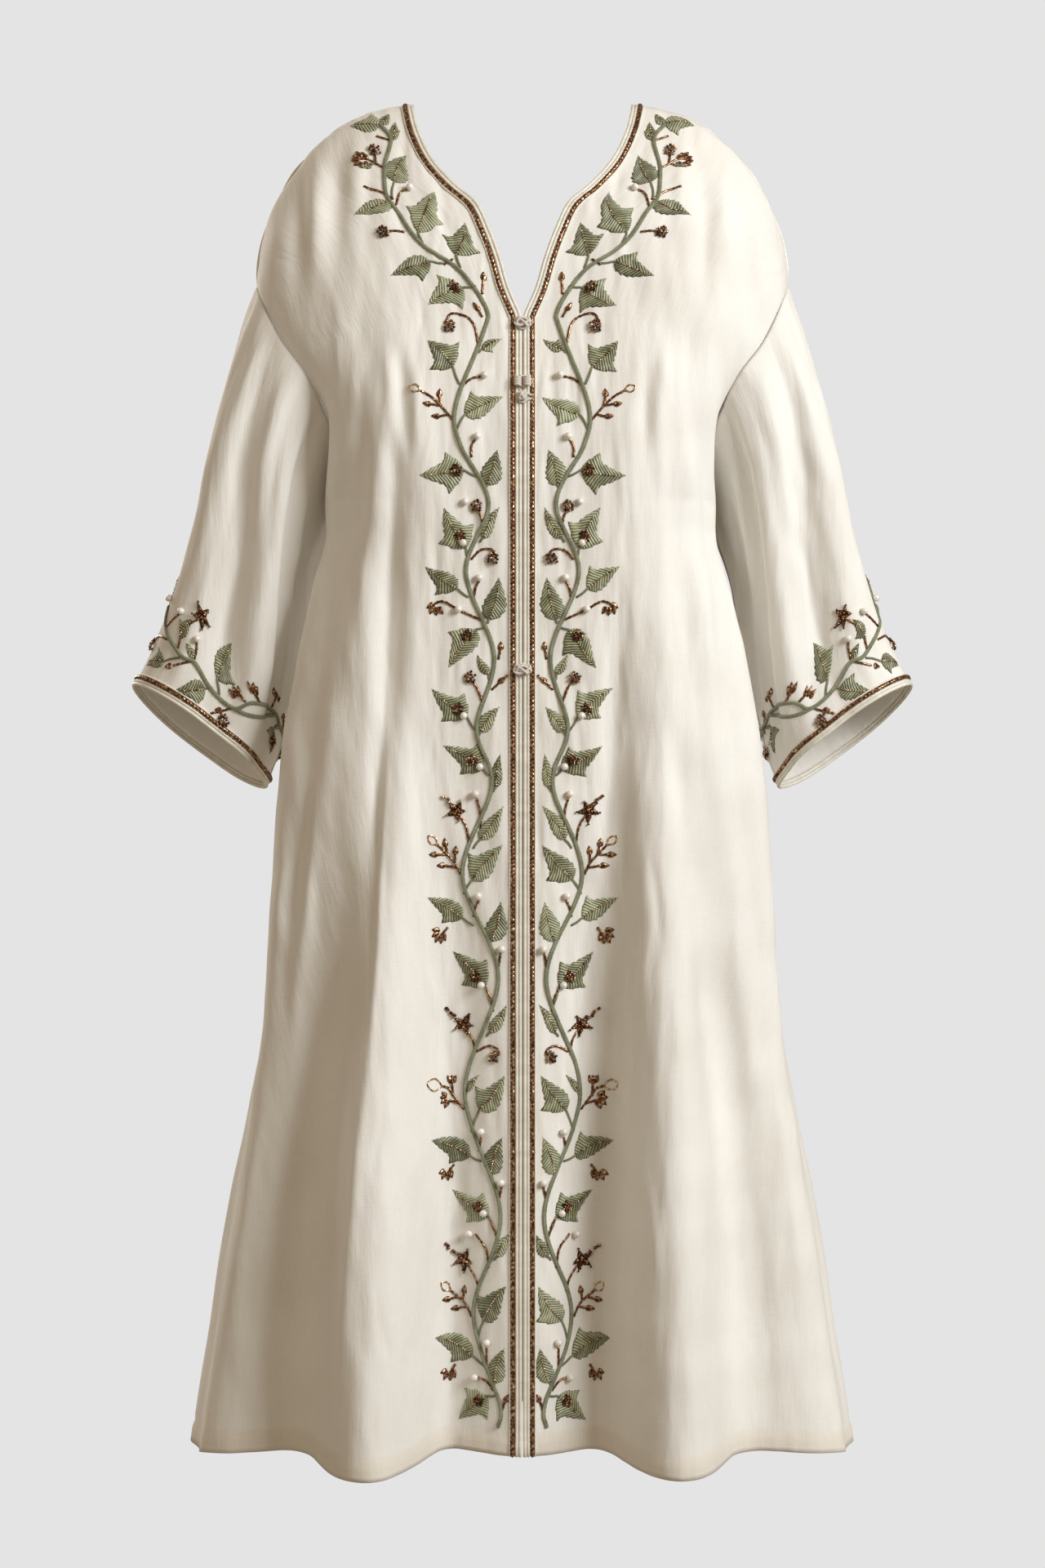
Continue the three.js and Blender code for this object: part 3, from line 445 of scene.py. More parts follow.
def smooth_rows(panel, station):
    """Rows of cloth without folds. Across follows a sine and forward a cosine of an angle from 0 at the
    middle to a right angle at the side, each to a power, and the swell is greatest half way."""
    facing = panel["facing"]
    inner = panel["inner"](station)[:, None]
    seam = outer_line(panel["armhole"], station)[:, None]
    off = np.stack([read(BODY_SIDE, part, station) for part in ("across", "forward", "down")], axis=-1)
    off = (off * np.array([-1, -facing, -1]))[:, None]
    outer = seam + off
    down = middle_down(station, NECK_POINT_DOWN)
    across_power, forward_power, swell = (
        read(panel["shape"], part, down)[:, None] for part in ("across_power", "forward_power", "swell")
    )
    angle = np.linspace(0, math.pi / 2, FINE_SAMPLES + 1)[None]
    sine = np.sin(angle)
    cosine = np.clip(np.cos(angle), 0, 1)
    cosine[0, -1] = 0
    x = mix(inner[..., 0], outer[..., 0], sine**across_power)
    y = mix(outer[..., 1], inner[..., 1], cosine**forward_power)
    y = y - facing * swell * np.sin(2 * angle) ** 2
    z = mix(outer[..., 2], inner[..., 2], cosine**across_power)
    return evenly(np.stack([x, y, z], axis=-1) - off * (sine**SEAM_BEND)[..., None], FINE_SAMPLES)


def grid_normals(points, facing):
    """Which way the cloth faces at each point of a grid."""
    down = np.gradient(points, axis=0)
    across = np.gradient(points, axis=1)
    return unit(np.cross(across, down) * facing)


def folded_rows(panel, station, left_side, columns):
    """Rows of cloth moved out along their normals by the folds, each a bell shape across the cloth that
    grows on its way down, and leaned over by a little movement along the row."""
    rows = smooth_rows(panel, station)
    normal = grid_normals(rows, panel["facing"])
    along = unit(np.gradient(rows, axis=1))
    down = -rows[..., 2]
    across = np.linspace(0, 1, FINE_SAMPLES + 1)[None]
    out = np.zeros(down.shape)
    sideways = np.zeros(down.shape)
    for fold in panel["folds"]:
        fall = np.clip((down - fold["start"]) / (HEM_DOWN - fold["start"]), 0, 1)
        offset = (across - mix(fold["top"], fold["hem"], fall)) / fold["wide"]
        height = fold["depth"] * ease(fold["start"], fold["full"], down) * np.exp(-(offset**2))
        height *= 1 - ease(fold["full"], fold["gone"], down)
        out += height
        sideways += fold["steep"] * height * offset
    share = 1 - ease(FOLD_DIES_AT_SIDE, 1, across)
    if left_side:
        share = share * mix(1, LEFT_DEPTH_SHARE, ease(LEFT_SHARE_BEGINS, LEFT_SHARE_FULL, across))
    sideways *= share * ease(0, STEEP_FROM_MIDDLE, across)
    out *= share
    rows = rows + normal * out[..., None] + along * sideways[..., None]
    rows[..., 2] -= FOLD_HANGS_LOWER * out * ease(HANG_STATION, 3, station)[:, None]
    return evenly(rows, columns)


# Creases. Each runs from one place to another, across and down the cloth as seen from in front, with a
# bow to the side. depth is negative in a trough, and wide and ends_wide are half widths at its two ends.
RIGHT_CREASES = table(
    "across down end_across end_down bow depth wide ends_wide",
    (0.204, 0.050, 0.208, 0.190, 0.000, -0.0040, 0.009, 0.012),
    (0.189, 0.045, 0.190, 0.150, 0.003, 0.0022, 0.007, 0.010),
    (0.168, 0.040, 0.172, 0.170, 0.002, -0.0050, 0.008, 0.016),
    (0.150, 0.030, 0.146, 0.120, 0.000, 0.0014, 0.007, 0.009),
    (0.141, 0.050, 0.136, 0.150, 0.004, -0.0020, 0.005, 0.010),
    (0.108, 0.020, 0.100, 0.105, 0.004, -0.0016, 0.004, 0.006),
    (0.116, 0.060, 0.106, 0.135, 0.002, -0.0014, 0.004, 0.006),
    (0.094, 0.050, 0.082, 0.115, -0.002, 0.0012, 0.004, 0.006),
    (0.080, 0.090, 0.064, 0.140, -0.002, -0.0014, 0.004, 0.005),
    (0.150, 0.190, 0.172, 0.330, 0.006, -0.0030, 0.014, 0.018),
    (0.140, 0.212, 0.152, 0.340, 0.002, -0.0030, 0.008, 0.010),
    (0.125, 0.222, 0.114, 0.330, 0.001, 0.0030, 0.005, 0.009),
    (0.112, 0.222, 0.105, 0.320, 0.001, -0.0030, 0.006, 0.009),
    (0.099, 0.240, 0.097, 0.330, -0.001, 0.0018, 0.005, 0.007),
    (0.116, 0.270, 0.150, 0.900, -0.003, -0.0110, 0.009, 0.019),
    (0.130, 0.300, 0.166, 0.520, -0.004, 0.0030, 0.008, 0.012),
    (0.145, 0.300, 0.182, 0.560, -0.004, -0.0040, 0.009, 0.014),
    (0.160, 0.290, 0.192, 0.470, 0.003, 0.0030, 0.008, 0.011),
    (0.110, 0.430, 0.120, 0.600, 0.000, -0.0018, 0.004, 0.006),
    (0.142, 0.580, 0.188, 0.960, -0.003, -0.0100, 0.015, 0.022),
    (0.122, 0.560, 0.146, 0.940, -0.002, 0.0026, 0.004, 0.006),
    (0.146, 0.900, 0.172, 1.210, 0.000, 0.0030, 0.005, 0.008),
    (0.186, 0.930, 0.214, 1.180, 0.003, -0.0060, 0.020, 0.026),
    (0.180, 0.560, 0.214, 0.860, -0.003, 0.0050, 0.008, 0.011),
    (0.200, 0.640, 0.226, 0.900, 0.004, -0.0050, 0.010, 0.013),
    (0.216, 0.690, 0.224, 0.780, 0.004, 0.0028, 0.005, 0.006),
    (0.240, 0.930, 0.268, 1.130, 0.002, 0.0030, 0.006, 0.008),
    (0.262, 0.900, 0.286, 1.120, 0.002, -0.0030, 0.007, 0.010),
    (0.128, 0.930, 0.140, 1.010, 0.002, -0.0011, 0.003, 0.004),
    (0.120, 0.990, 0.132, 1.070, -0.002, 0.0010, 0.003, 0.004),
    (0.112, 0.840, 0.118, 0.940, 0.002, -0.0010, 0.003, 0.004),
    (0.134, 1.080, 0.124, 1.150, 0.003, -0.0012, 0.003, 0.004),
)
LEFT_CREASES = table(
    "across down end_across end_down bow depth wide ends_wide",
    (0.200, 0.055, 0.206, 0.200, 0.002, -0.0034, 0.010, 0.013),
    (0.186, 0.040, 0.184, 0.140, 0.002, 0.0020, 0.007, 0.010),
    (0.163, 0.045, 0.170, 0.185, 0.003, -0.0042, 0.008, 0.015),
    (0.146, 0.030, 0.143, 0.110, 0.000, 0.0014, 0.006, 0.009),
    (0.138, 0.060, 0.130, 0.160, 0.003, -0.0018, 0.005, 0.009),
    (0.110, 0.025, 0.101, 0.100, 0.003, -0.0014, 0.004, 0.006),
    (0.092, 0.055, 0.080, 0.120, -0.002, -0.0013, 0.004, 0.006),
    (0.145, 0.200, 0.168, 0.350, 0.004, -0.0026, 0.013, 0.018),
    (0.130, 0.215, 0.121, 0.330, 0.002, 0.0024, 0.006, 0.009),
    (0.118, 0.230, 0.110, 0.310, 0.001, -0.0024, 0.006, 0.008),
    (0.112, 0.260, 0.120, 0.480, 0.002, -0.0042, 0.009, 0.014),
    (0.136, 0.300, 0.160, 0.560, -0.003, -0.0040, 0.010, 0.014),
    (0.150, 0.290, 0.182, 0.520, -0.002, 0.0032, 0.008, 0.012),
    (0.084, 0.440, 0.080, 0.780, 0.003, -0.0060, 0.010, 0.018),
    (0.078, 0.740, 0.072, 1.100, 0.002, -0.0060, 0.018, 0.022),
    (0.110, 0.620, 0.116, 0.900, 0.002, 0.0024, 0.008, 0.012),
    (0.143, 0.560, 0.168, 0.780, -0.003, -0.0080, 0.011, 0.016),
    (0.166, 0.760, 0.198, 0.980, 0.002, -0.0090, 0.015, 0.020),
    (0.180, 0.560, 0.206, 0.880, -0.002, 0.0046, 0.009, 0.013),
    (0.204, 0.640, 0.232, 0.940, 0.003, -0.0042, 0.010, 0.014),
    (0.196, 0.960, 0.216, 1.190, 0.002, -0.0050, 0.018, 0.024),
    (0.232, 0.900, 0.262, 1.130, 0.002, 0.0028, 0.007, 0.010),
    (0.118, 0.690, 0.128, 0.790, 0.002, -0.0016, 0.003, 0.004),
    (0.124, 0.760, 0.120, 0.860, -0.002, -0.0012, 0.003, 0.005),
    (0.112, 0.980, 0.124, 1.080, 0.002, 0.0010, 0.003, 0.004),
)
# Where a crease begins and ends, as shares of its length
CREASE_GROWS = (-0.12, 0.3)
CREASE_FADES = (0.62, 1.15)


def crease_height(creases, across, down):
    """How far the creases move the cloth out, all of them together. Each is a bell shape about its bowed
    line, at full depth over its middle and fading towards both ends."""
    height = np.zeros(across.shape)
    for crease in creases:
        way = np.array([crease["end_across"] - crease["across"], crease["end_down"] - crease["down"]])
        length = math.hypot(*way)
        way = way / length
        from_start = (across - crease["across"]) * way[0] + (down - crease["down"]) * way[1]
        t = from_start / length
        aside = (across - crease["across"]) * way[1] - (down - crease["down"]) * way[0]
        aside = aside - crease["bow"] * 4 * t * (1 - t)
        wide = mix(crease["wide"], crease["ends_wide"], np.clip(t, 0, 1))
        fade = ease(*CREASE_GROWS, t) * (1 - ease(*CREASE_FADES, t))
        height += crease["depth"] * fade * np.exp(-((aside / wide) ** 2))
    return height


# Stitching draws the cloth into short upright puckers all through the embroidered border
PUCKER_BAND = (0.012, 0.098)
PUCKER_COUNT = 230
PUCKER_LONG = (0.014, 0.045)
PUCKER_WIDE = (0.0020, 0.0042)
PUCKER_DEPTH = 0.0008
PUCKER_LEAN = 0.12
PUCKER_FIRST_DOWN = 0.02
PUCKER_OFF_HEM = 0.03


def pucker_height(across, down, seed):
    """Short upright troughs and ridges, strewn over the border by chance, each a bell shape."""
    chance = np.random.default_rng(seed)
    height = np.zeros(across.shape)
    for _ in range(PUCKER_COUNT):
        middle = chance.uniform(*PUCKER_BAND)
        level = chance.uniform(PUCKER_FIRST_DOWN, HEM_DOWN - PUCKER_OFF_HEM)
        long = chance.uniform(*PUCKER_LONG)
        wide = chance.uniform(*PUCKER_WIDE)
        lean = chance.normal(0, PUCKER_LEAN)
        depth = PUCKER_DEPTH * chance.uniform(0.4, 1) * chance.choice((-1, 1))
        near = np.abs(down - level) < 2.5 * long
        step = down[near] - level
        aside = across[near] - middle - lean * step
        height[near] += depth * np.exp(-((aside / wide) ** 2) - (step / long) ** 2)
    return height


# The cloth is drawn in along its seams, steps out where the hem is doubled, and is nowhere quite flat
SEAM_GROOVE = 0.0008
SEAM_GROOVE_WIDE = 0.0028
HEM_STEP = 0.0009
HEM_STEP_WIDE = 0.0015
HEM_STITCH_SHARE = 1.3
SEAM_CALM = 0.02
EDGE_CALM = 0.012
PUCKERS_OFF_EDGE = 0.006
RUMPLE = 0.0007
RUMPLE_WAVES = 14
RUMPLE_LONG = (0.022, 0.09)
RUMPLE_UPRIGHT = 1.8


def rumple_height(across, down, seed):
    """A slight unevenness of the cloth all over: a sum of slow waves in chance directions, the longest
    of them the highest."""
    chance = np.random.default_rng(seed)
    height = np.zeros(across.shape)
    for _ in range(RUMPLE_WAVES):
        long = chance.uniform(*RUMPLE_LONG)
        turn = chance.normal(0, 0.5)
        phase = chance.uniform(0, 2 * math.pi)
        along = across * math.cos(turn) * RUMPLE_UPRIGHT + down * math.sin(turn)
        height += np.sin(2 * math.pi * along / long + phase) * long / RUMPLE_LONG[1]
    return RUMPLE * height / 3


def lengths_over(points):
    """Each grid point's place on the flat cloth: its length along the row and its mean length down."""
    across = np.linalg.norm(np.diff(points, axis=1), axis=-1)
    across = np.concatenate([np.zeros((len(points), 1)), np.cumsum(across, axis=1)], axis=1)
    down = np.linalg.norm(np.diff(points, axis=0), axis=-1).mean(axis=1)
    down = np.broadcast_to(np.r_[0, np.cumsum(down)][:, None], across.shape)
    return np.stack([across, down], axis=-1)


def as_seen(points):
    """Across and down as the camera sees them, both brought to the plane of the shoulders: what stands
    nearer to the camera looks larger, about the camera's own level."""
    larger = CAMERA_PLACE[1] / (CAMERA_PLACE[1] - points[..., 1])
    down = -CAMERA_PLACE[2] - (points[..., 2] - CAMERA_PLACE[2]) * larger
    return -points[..., 0] * larger, down


def relieved(points, facing, creases, seed, border):
    """A half panel on the wearer's right side with its relief: creases, puckers in a front's border, the
    groove of its seam and the step of its hem. Gives its points, normals, flat place and hem mask."""
    normals = grid_normals(points, facing)
    flat = lengths_over(points)
    across, down = as_seen(points)
    from_side = flat[:, -1:, 0] - flat[..., 0]
    from_hem = flat[-1:, :, 1] - flat[..., 1]
    calm = ease(0, SEAM_CALM, from_side) * ease(0, EDGE_CALM, flat[..., 0])
    height = crease_height(creases, across, down) * calm
    height += rumple_height(across, down, seed) * calm
    if border:
        height += pucker_height(across, down, seed + 1) * ease(0, PUCKERS_OFF_EDGE, flat[..., 0])
    hem = 1 - ease(HEM_TURN_UP - HEM_STEP_WIDE, HEM_TURN_UP, from_hem)
    stitched = np.exp(-(((from_hem - HEM_TURN_UP) / HEM_STEP_WIDE) ** 2))
    height += HEM_STEP * (hem - HEM_STITCH_SHARE * stitched) * ease(0, HEM_TURN_UP, from_side)
    height -= SEAM_GROOVE * np.exp(-((from_side / SEAM_GROOVE_WIDE) ** 2))
    points = points + normals * height[..., None]
    return points, grid_normals(points, facing), flat, hem


def shell(points, normals, faces, rims, flat, hem):
    """A closed wall, as a part for make_object: the outer points with their faces, the same moved in by
    the cloth's thickness, and a strip of faces along every open line, each line given so that its strip
    faces outwards. The hem's mask goes to its shade."""
    count = len(points)
    both = np.concatenate([points, points - CLOTH * normals])
    strips = [
        np.stack([line[1:], line[:-1], line[:-1] + count, line[1:] + count], axis=-1) for line in rims
    ]
    faces = outwards(both, np.concatenate([faces, faces[:, ::-1] + count, *strips]))
    return both, faces, None, np.tile(flat, (2, 1)), np.tile(hem, 2)


def stations(neck_rows, chest_rows, skirt_rows):
    """Stations down a panel, closer together at the shoulder."""
    neck = np.linspace(0, 1, neck_rows, endpoint=False) ** 1.2
    chest = np.linspace(1, 2, chest_rows, endpoint=False)
    return np.concatenate([neck, chest, np.linspace(2, 3, skirt_rows + 1)])


def outwards(points, faces):
    """Faces of a closed surface wound so that they point out: its volume has to come out positive."""
    a, b, c, d = (points[faces[:, i]] - points[faces[:, 0]].mean(axis=0) for i in range(4))
    volume = np.einsum("ij,ij->", a, np.cross(b, c)) + np.einsum("ij,ij->", a, np.cross(c, d))
    return faces if volume > 0 else faces[:, ::-1]


def shared_group(name, inputs, outputs):
    """An empty shader node group with named inputs and outputs, and its two end nodes."""
    group = bpy.data.node_groups.new(name, "ShaderNodeTree")
    for label, kind, value in inputs:
        entry = group.interface.new_socket(name=label, in_out="INPUT", socket_type=kind)
        if value is not None:
            entry.default_value = value
    for label, kind in outputs:
        group.interface.new_socket(name=label, in_out="OUTPUT", socket_type=kind)
    return group, group.nodes.new("NodeGroupInput"), group.nodes.new("NodeGroupOutput")


def maths(tree, operation, *values):
    """The result of a sum on one, two or three values or sockets."""
    node = tree.nodes.new("ShaderNodeMath")
    node.operation = operation
    for socket, value in zip(node.inputs, values):
        feed(tree, socket, value)
    return node.outputs[0]


def noise(tree, place, scale, detail):
    """A noise from 0 to 1 over a place on the piece."""
    return add_node(tree, "ShaderNodeTexNoise", Vector=place, Scale=scale, Detail=detail).outputs[0]


def stretched(tree, place, shares):
    """A place with each of its lengths multiplied by a number of its own."""
    return add_node(tree, "ShaderNodeVectorMath", "MULTIPLY", _0=place, _1=shares).outputs[0]


# A plain weave of uneven threads. Its height goes to a bump and its tone varies the colour a little.
SLUB_STRETCHES = ((900, 60, 1), (70, 1100, 1))
weave, weave_in, weave_out = shared_group(
    "plain_weave",
    [("Place", "NodeSocketVector", None), ("Thread", "NodeSocketFloat", 0.0006)],
    [("Height", "NodeSocketFloat"), ("Tone", "NodeSocketFloat")],
)
weave_turns = maths(weave, "DIVIDE", math.pi, weave_in.outputs["Thread"])
weave_split = add_node(weave, "ShaderNodeSeparateXYZ", _0=weave_in.outputs["Place"])
weave_waves = [
    maths(weave, "SINE", maths(weave, "MULTIPLY", weave_split.outputs[axis], weave_turns))
    for axis in ("X", "Y")
]
slubs = [
    noise(weave, stretched(weave, weave_in.outputs["Place"], shares), 1.0, 2.0) for shares in SLUB_STRETCHES
]
slub = maths(weave, "ADD", *slubs)
raised = maths(weave, "MULTIPLY_ADD", maths(weave, "MULTIPLY", *weave_waves), 0.35, slub)
weave.links.new(raised, weave_out.inputs["Height"])
weave.links.new(slub, weave_out.inputs["Tone"])


def place_on_piece(tree):
    """Lengths over the piece's own surface, from its UV map."""
    node = tree.nodes.new("ShaderNodeUVMap")
    node.uv_map = "cloth"
    return node.outputs["UV"]


def shade_of(tree):
    """The shade that each point of the piece carries."""
    node = tree.nodes.new("ShaderNodeAttribute")
    node.attribute_name = "shade"
    return node.outputs["Fac"]


def ramp(tree, factor, *stops):
    """Colours that follow a factor, from (place, colour) stops."""
    node = add_node(tree, "ShaderNodeValToRGB", Fac=factor)
    elements = node.color_ramp.elements
    while len(elements) < len(stops):
        elements.new(0.5)
    for element, (place, colour) in zip(elements, stops):
        element.position = place
        element.color = (*colour, 1)
    return node.outputs["Color"]


def place_group(tree, group, **values):
    """Places a shared group in a material, with the values of its inputs. Gives its outputs."""
    node = tree.nodes.new("ShaderNodeGroup")
    node.node_tree = group
    for name, value in values.items():
        feed(tree, node.inputs[name], value)
    return node.outputs


def finish(tree, shader, height, strength, distance, **values):
    """Sets a shader's inputs by name, with _ for a space, and feeds its normal from a bump."""
    for name, value in values.items():
        feed(tree, shader.inputs[name.replace("_", " ")], value)
    node = add_node(tree, "ShaderNodeBump", Height=height, Strength=strength, Distance=distance)
    tree.links.new(node.outputs["Normal"], shader.inputs["Normal"])


# The cloth is painted a little darker over the turned-up hem, a painted shade along the hem band. Fine
# upright wrinkles, about 45 mm apart, lie under the weave.
CLOTH_THREAD = 0.0007
HEM_PAINTED_SHADE = (0.93, 0.89, 0.84, 1)
WRINKLE_STRETCH = (22, 4.5, 1)
WEAVE_SHARE = 0.022
WRINKLE_HEIGHT = 0.0048
cloth, cloth_tree, cloth_shader = new_material("cream_cloth")
cloth_place = place_on_piece(cloth_tree)
woven = place_group(cloth_tree, weave, Place=cloth_place, Thread=CLOTH_THREAD)
cloth_tone = maths(cloth_tree, "MULTIPLY_ADD", woven["Tone"], 0.35, noise(cloth_tree, cloth_place, 9.0, 3.0))
cloth_colour = ramp(cloth_tree, cloth_tone, (0.45, (0.80, 0.765, 0.70)), (1.0, (0.89, 0.87, 0.825)))
wrinkles = noise(cloth_tree, stretched(cloth_tree, cloth_place, WRINKLE_STRETCH), 1.0, 6.0)
finish(
    cloth_tree,
    cloth_shader,
    maths(cloth_tree, "MULTIPLY_ADD", woven["Height"], WEAVE_SHARE, wrinkles),
    1.0,
    WRINKLE_HEIGHT,
    # the hem band's colour is multiplied by a painted shade
    Base_Color=colour_mix(cloth_tree, shade_of(cloth_tree), cloth_colour, HEM_PAINTED_SHADE, "MULTIPLY"),
    Roughness=0.75,
    Sheen_Weight=0.2,
    Sheen_Roughness=0.5,
)


def seat(piece, slot, *nodes):
    """Seats a finished piece: it rides on the body and stands for its nodes, whose parts it hides. Its slot
    is not used.
    """
    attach(piece, "root")
    if nodes:
        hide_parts(*nodes)


MIRROR = np.array([-1, 1, 1])
FRONT = {
    "facing": 1,
    "inner": front_inner,
    "armhole": FRONT_ARMHOLE,
    "shape": FRONT_SHAPE,
    "folds": FRONT_FOLDS,
}
front_stations = stations(NECK_ROWS, CHEST_ROWS, SKIRT_ROWS)
fronts = {}
for side, creases, seed in (("right", RIGHT_CREASES, 11), ("left", LEFT_CREASES, 29)):
    points = folded_rows(FRONT, front_stations, side == "left", PANEL_COLUMNS)
    points, normals, flat, hem = relieved(points, 1, creases, seed, True)
    if side == "left":
        points, normals = points * MIRROR, normals * MIRROR
    fronts[side] = (points, normals, flat)
    number = np.arange(hem.size).reshape(hem.shape)
    wall = shell(
        points.reshape(-1, 3),
        normals.reshape(-1, 3),
        grid_faces(*hem.shape),
        (number[0], number[::-1, 0], number[-1, ::-1], number[:, -1]),
        flat.reshape(-1, 2),
        hem.ravel(),
    )
    piece = make_object(f"front_panel_{side}", [wall], cloth)
    seat(piece, "cloth", f"front_{side}")

# Back
# The back is one wide panel of the same cloth, cut with a deep neck. It hangs in a fold down the middle
# and two great folds beside it, and its hem is turned up like the fronts'.
BACK_NECK_DOWN = 0.187
BACK_NECK = table(
    "station across forward down",
    (0, NECK_HALF, 0, 0),
    (0.05, 0.0994, -0.017, 0.007),
    (0.125, 0.095, -0.038, 0.026),
    (0.25, 0.086, -0.057, 0.051),
    (0.375, 0.073, -0.069, 0.075),
    (0.5, 0.057, -0.077, 0.097),
    (0.625, 0.042, -0.082, 0.121),
    (0.75, 0.030, -0.085, 0.146),
    (0.875, 0.017, -0.087, 0.172),
    (1, 0, -0.088, BACK_NECK_DOWN),
)
BACK_MIDDLE = table(
    "down forward",
    (0.196, -0.088),
    (0.26, -0.096),
    (0.375, -0.097),
    (0.5, -0.092),
    (0.7, -0.098),
    (0.9, -0.108),
    (HEM_DOWN, -0.124),
)
BACK_ARMHOLE = table(
    "station across forward down",
    (0, SHOULDER_ACROSS, 0, SHOULDER_DROP),
    (0.35, 0.240, -0.042, 0.187),
    (0.7, 0.228, -0.062, 0.226),
    (1, 0.212, -0.074, 0.264),
    (1.35, 0.192, -0.070, 0.303),
    (1.7, 0.174, -0.047, 0.342),
    (2, UNDERARM_ACROSS, -UNDERARM_BACK, UNDERARM_DOWN),
)
BACK_SHAPE = table(
    "down across_power forward_power swell",
    (0, 1.05, 1.05, 0),
    (0.09, 1, 1.35, 0.009),
    (0.18, 0.98, 1.4, 0.014),
    (0.26, 0.9, 1.1, 0.013),
    (0.33, 0.82, 0.9, 0.010),
    (0.42, 0.78, 0.8, 0.006),
    (0.7, 0.84, 0.86, 0),
    (HEM_DOWN, 0.9, 0.9, 0),
)
BACK_FOLDS = table(
    "top hem start full gone depth wide steep",
    (0, 0, 0.3, 1.12, STAYS, 0.034, 0.12, 0),
    (0.2, 0.2, 0.42, 1.12, STAYS, -0.020, 0.1, 0),
    (0.4, 0.42, 0.3, 1.12, STAYS, 0.046, 0.1, 0.25),
    (0.62, 0.64, 0.5, 1.12, STAYS, -0.016, 0.09, 0),
    (0.84, 0.86, 0.56, 1.12, STAYS, 0.018, 0.12, 0.1),
)
BACK_COLUMNS = 78
BACK_STATION_ROWS = ((44, 30, 140))
BACK_CREASES = table(
    "across down end_across end_down bow depth wide ends_wide",
    (0.196, 0.050, 0.204, 0.200, 0.002, -0.0036, 0.010, 0.014),
    (0.160, 0.045, 0.166, 0.180, 0.002, -0.0040, 0.009, 0.016),
    (0.178, 0.050, 0.182, 0.150, 0.002, 0.0020, 0.007, 0.010),
    (0.120, 0.060, 0.118, 0.160, 0.002, -0.0016, 0.006, 0.009),
    (0.090, 0.110, 0.070, 0.200, -0.002, -0.0016, 0.005, 0.008),
    (0.030, 0.220, 0.052, 0.420, 0.004, -0.0030, 0.010, 0.014),
    (0.010, 0.215, 0.014, 0.380, 0.002, 0.0020, 0.008, 0.012),
    (0.110, 0.250, 0.135, 0.480, -0.003, -0.0046, 0.010, 0.016),
    (0.145, 0.270, 0.176, 0.520, -0.003, -0.0040, 0.010, 0.014),
    (0.128, 0.260, 0.156, 0.500, 0.002, 0.0030, 0.008, 0.012),
    (0.070, 0.420, 0.086, 0.800, 0.003, -0.0056, 0.012, 0.018),
    (0.052, 0.700, 0.060, 1.080, 0.002, -0.0060, 0.016, 0.022),
    (0.150, 0.560, 0.180, 0.900, -0.003, -0.0080, 0.014, 0.020),
    (0.190, 0.620, 0.226, 0.960, 0.003, -0.0050, 0.011, 0.016),
    (0.172, 0.540, 0.200, 0.860, 0.002, 0.0042, 0.009, 0.012),
    (0.206, 0.900, 0.240, 1.160, 0.002, -0.0050, 0.016, 0.022),
    (0.120, 0.640, 0.126, 0.920, 0.002, 0.0022, 0.006, 0.009),
    (-0.200, 0.052, -0.206, 0.190, -0.002, -0.0038, 0.010, 0.014),
    (-0.166, 0.040, -0.172, 0.170, -0.002, -0.0040, 0.008, 0.015),
    (-0.184, 0.046, -0.188, 0.160, -0.002, 0.0022, 0.007, 0.010),
    (-0.124, 0.050, -0.116, 0.150, -0.002, -0.0014, 0.006, 0.009),
    (-0.086, 0.105, -0.068, 0.190, 0.002, -0.0015, 0.005, 0.008),
    (-0.036, 0.225, -0.046, 0.450, -0.004, -0.0032, 0.010, 0.014),
    (-0.116, 0.255, -0.140, 0.500, 0.003, -0.0042, 0.010, 0.016),
    (-0.150, 0.270, -0.180, 0.500, 0.003, -0.0040, 0.009, 0.014),
    (-0.134, 0.265, -0.160, 0.520, -0.002, 0.0028, 0.008, 0.012),
    (-0.074, 0.440, -0.080, 0.760, -0.003, -0.0060, 0.012, 0.018),
    (-0.056, 0.740, -0.066, 1.100, -0.002, -0.0056, 0.016, 0.020),
    (-0.146, 0.540, -0.176, 0.880, 0.003, -0.0080, 0.013, 0.019),
    (-0.186, 0.640, -0.220, 0.940, -0.003, -0.0052, 0.011, 0.015),
    (-0.168, 0.560, -0.196, 0.840, -0.002, 0.0040, 0.008, 0.012),
    (-0.210, 0.920, -0.236, 1.150, -0.002, -0.0046, 0.016, 0.021),
    (-0.122, 0.660, -0.130, 0.940, -0.002, 0.0024, 0.006, 0.009),
)


def back_edge(station):
    """The finished edge of the back neckline."""
    return from_table(BACK_NECK, station)


def back_inner(station):
    """Where the back's cloth stops and its edging starts, then its middle line below the neck."""
    neck = back_edge(station) + EDGING_WIDE * away_from_edge(back_edge, -1, station, 1)
    neck[station == 1, 0] = 0
    down = middle_down(station, BACK_NECK_DOWN + EDGING_WIDE)
    middle = np.stack([0 * down, -read(BACK_MIDDLE, "forward", down), -down], axis=-1)
    return np.where(station[:, None] <= 1, neck, middle)


BACK = {
    "facing": -1,
    "inner": back_inner,
    "armhole": BACK_ARMHOLE,
    "shape": BACK_SHAPE,
    "folds": BACK_FOLDS,
}
back_stations = stations(*BACK_STATION_ROWS)
NECK_POINT_ROW = BACK_STATION_ROWS[0]
back_halves = {}
for side in ("right", "left"):
    points = folded_rows(BACK, back_stations, side == "left", BACK_COLUMNS)
    creases = BACK_CREASES.copy()
    if side == "left":
        for part in ("across", "end_across", "bow"):
            creases[part] *= -1
    creases = creases[creases["across"] > 0]
    points, normals, flat, hem = relieved(points, -1, creases, 41, False)
    if side == "left":
        points, normals = points * MIRROR, normals * MIRROR
        flat = flat * np.array([-1, 1])
    back_halves[side] = (points, normals, flat, hem)

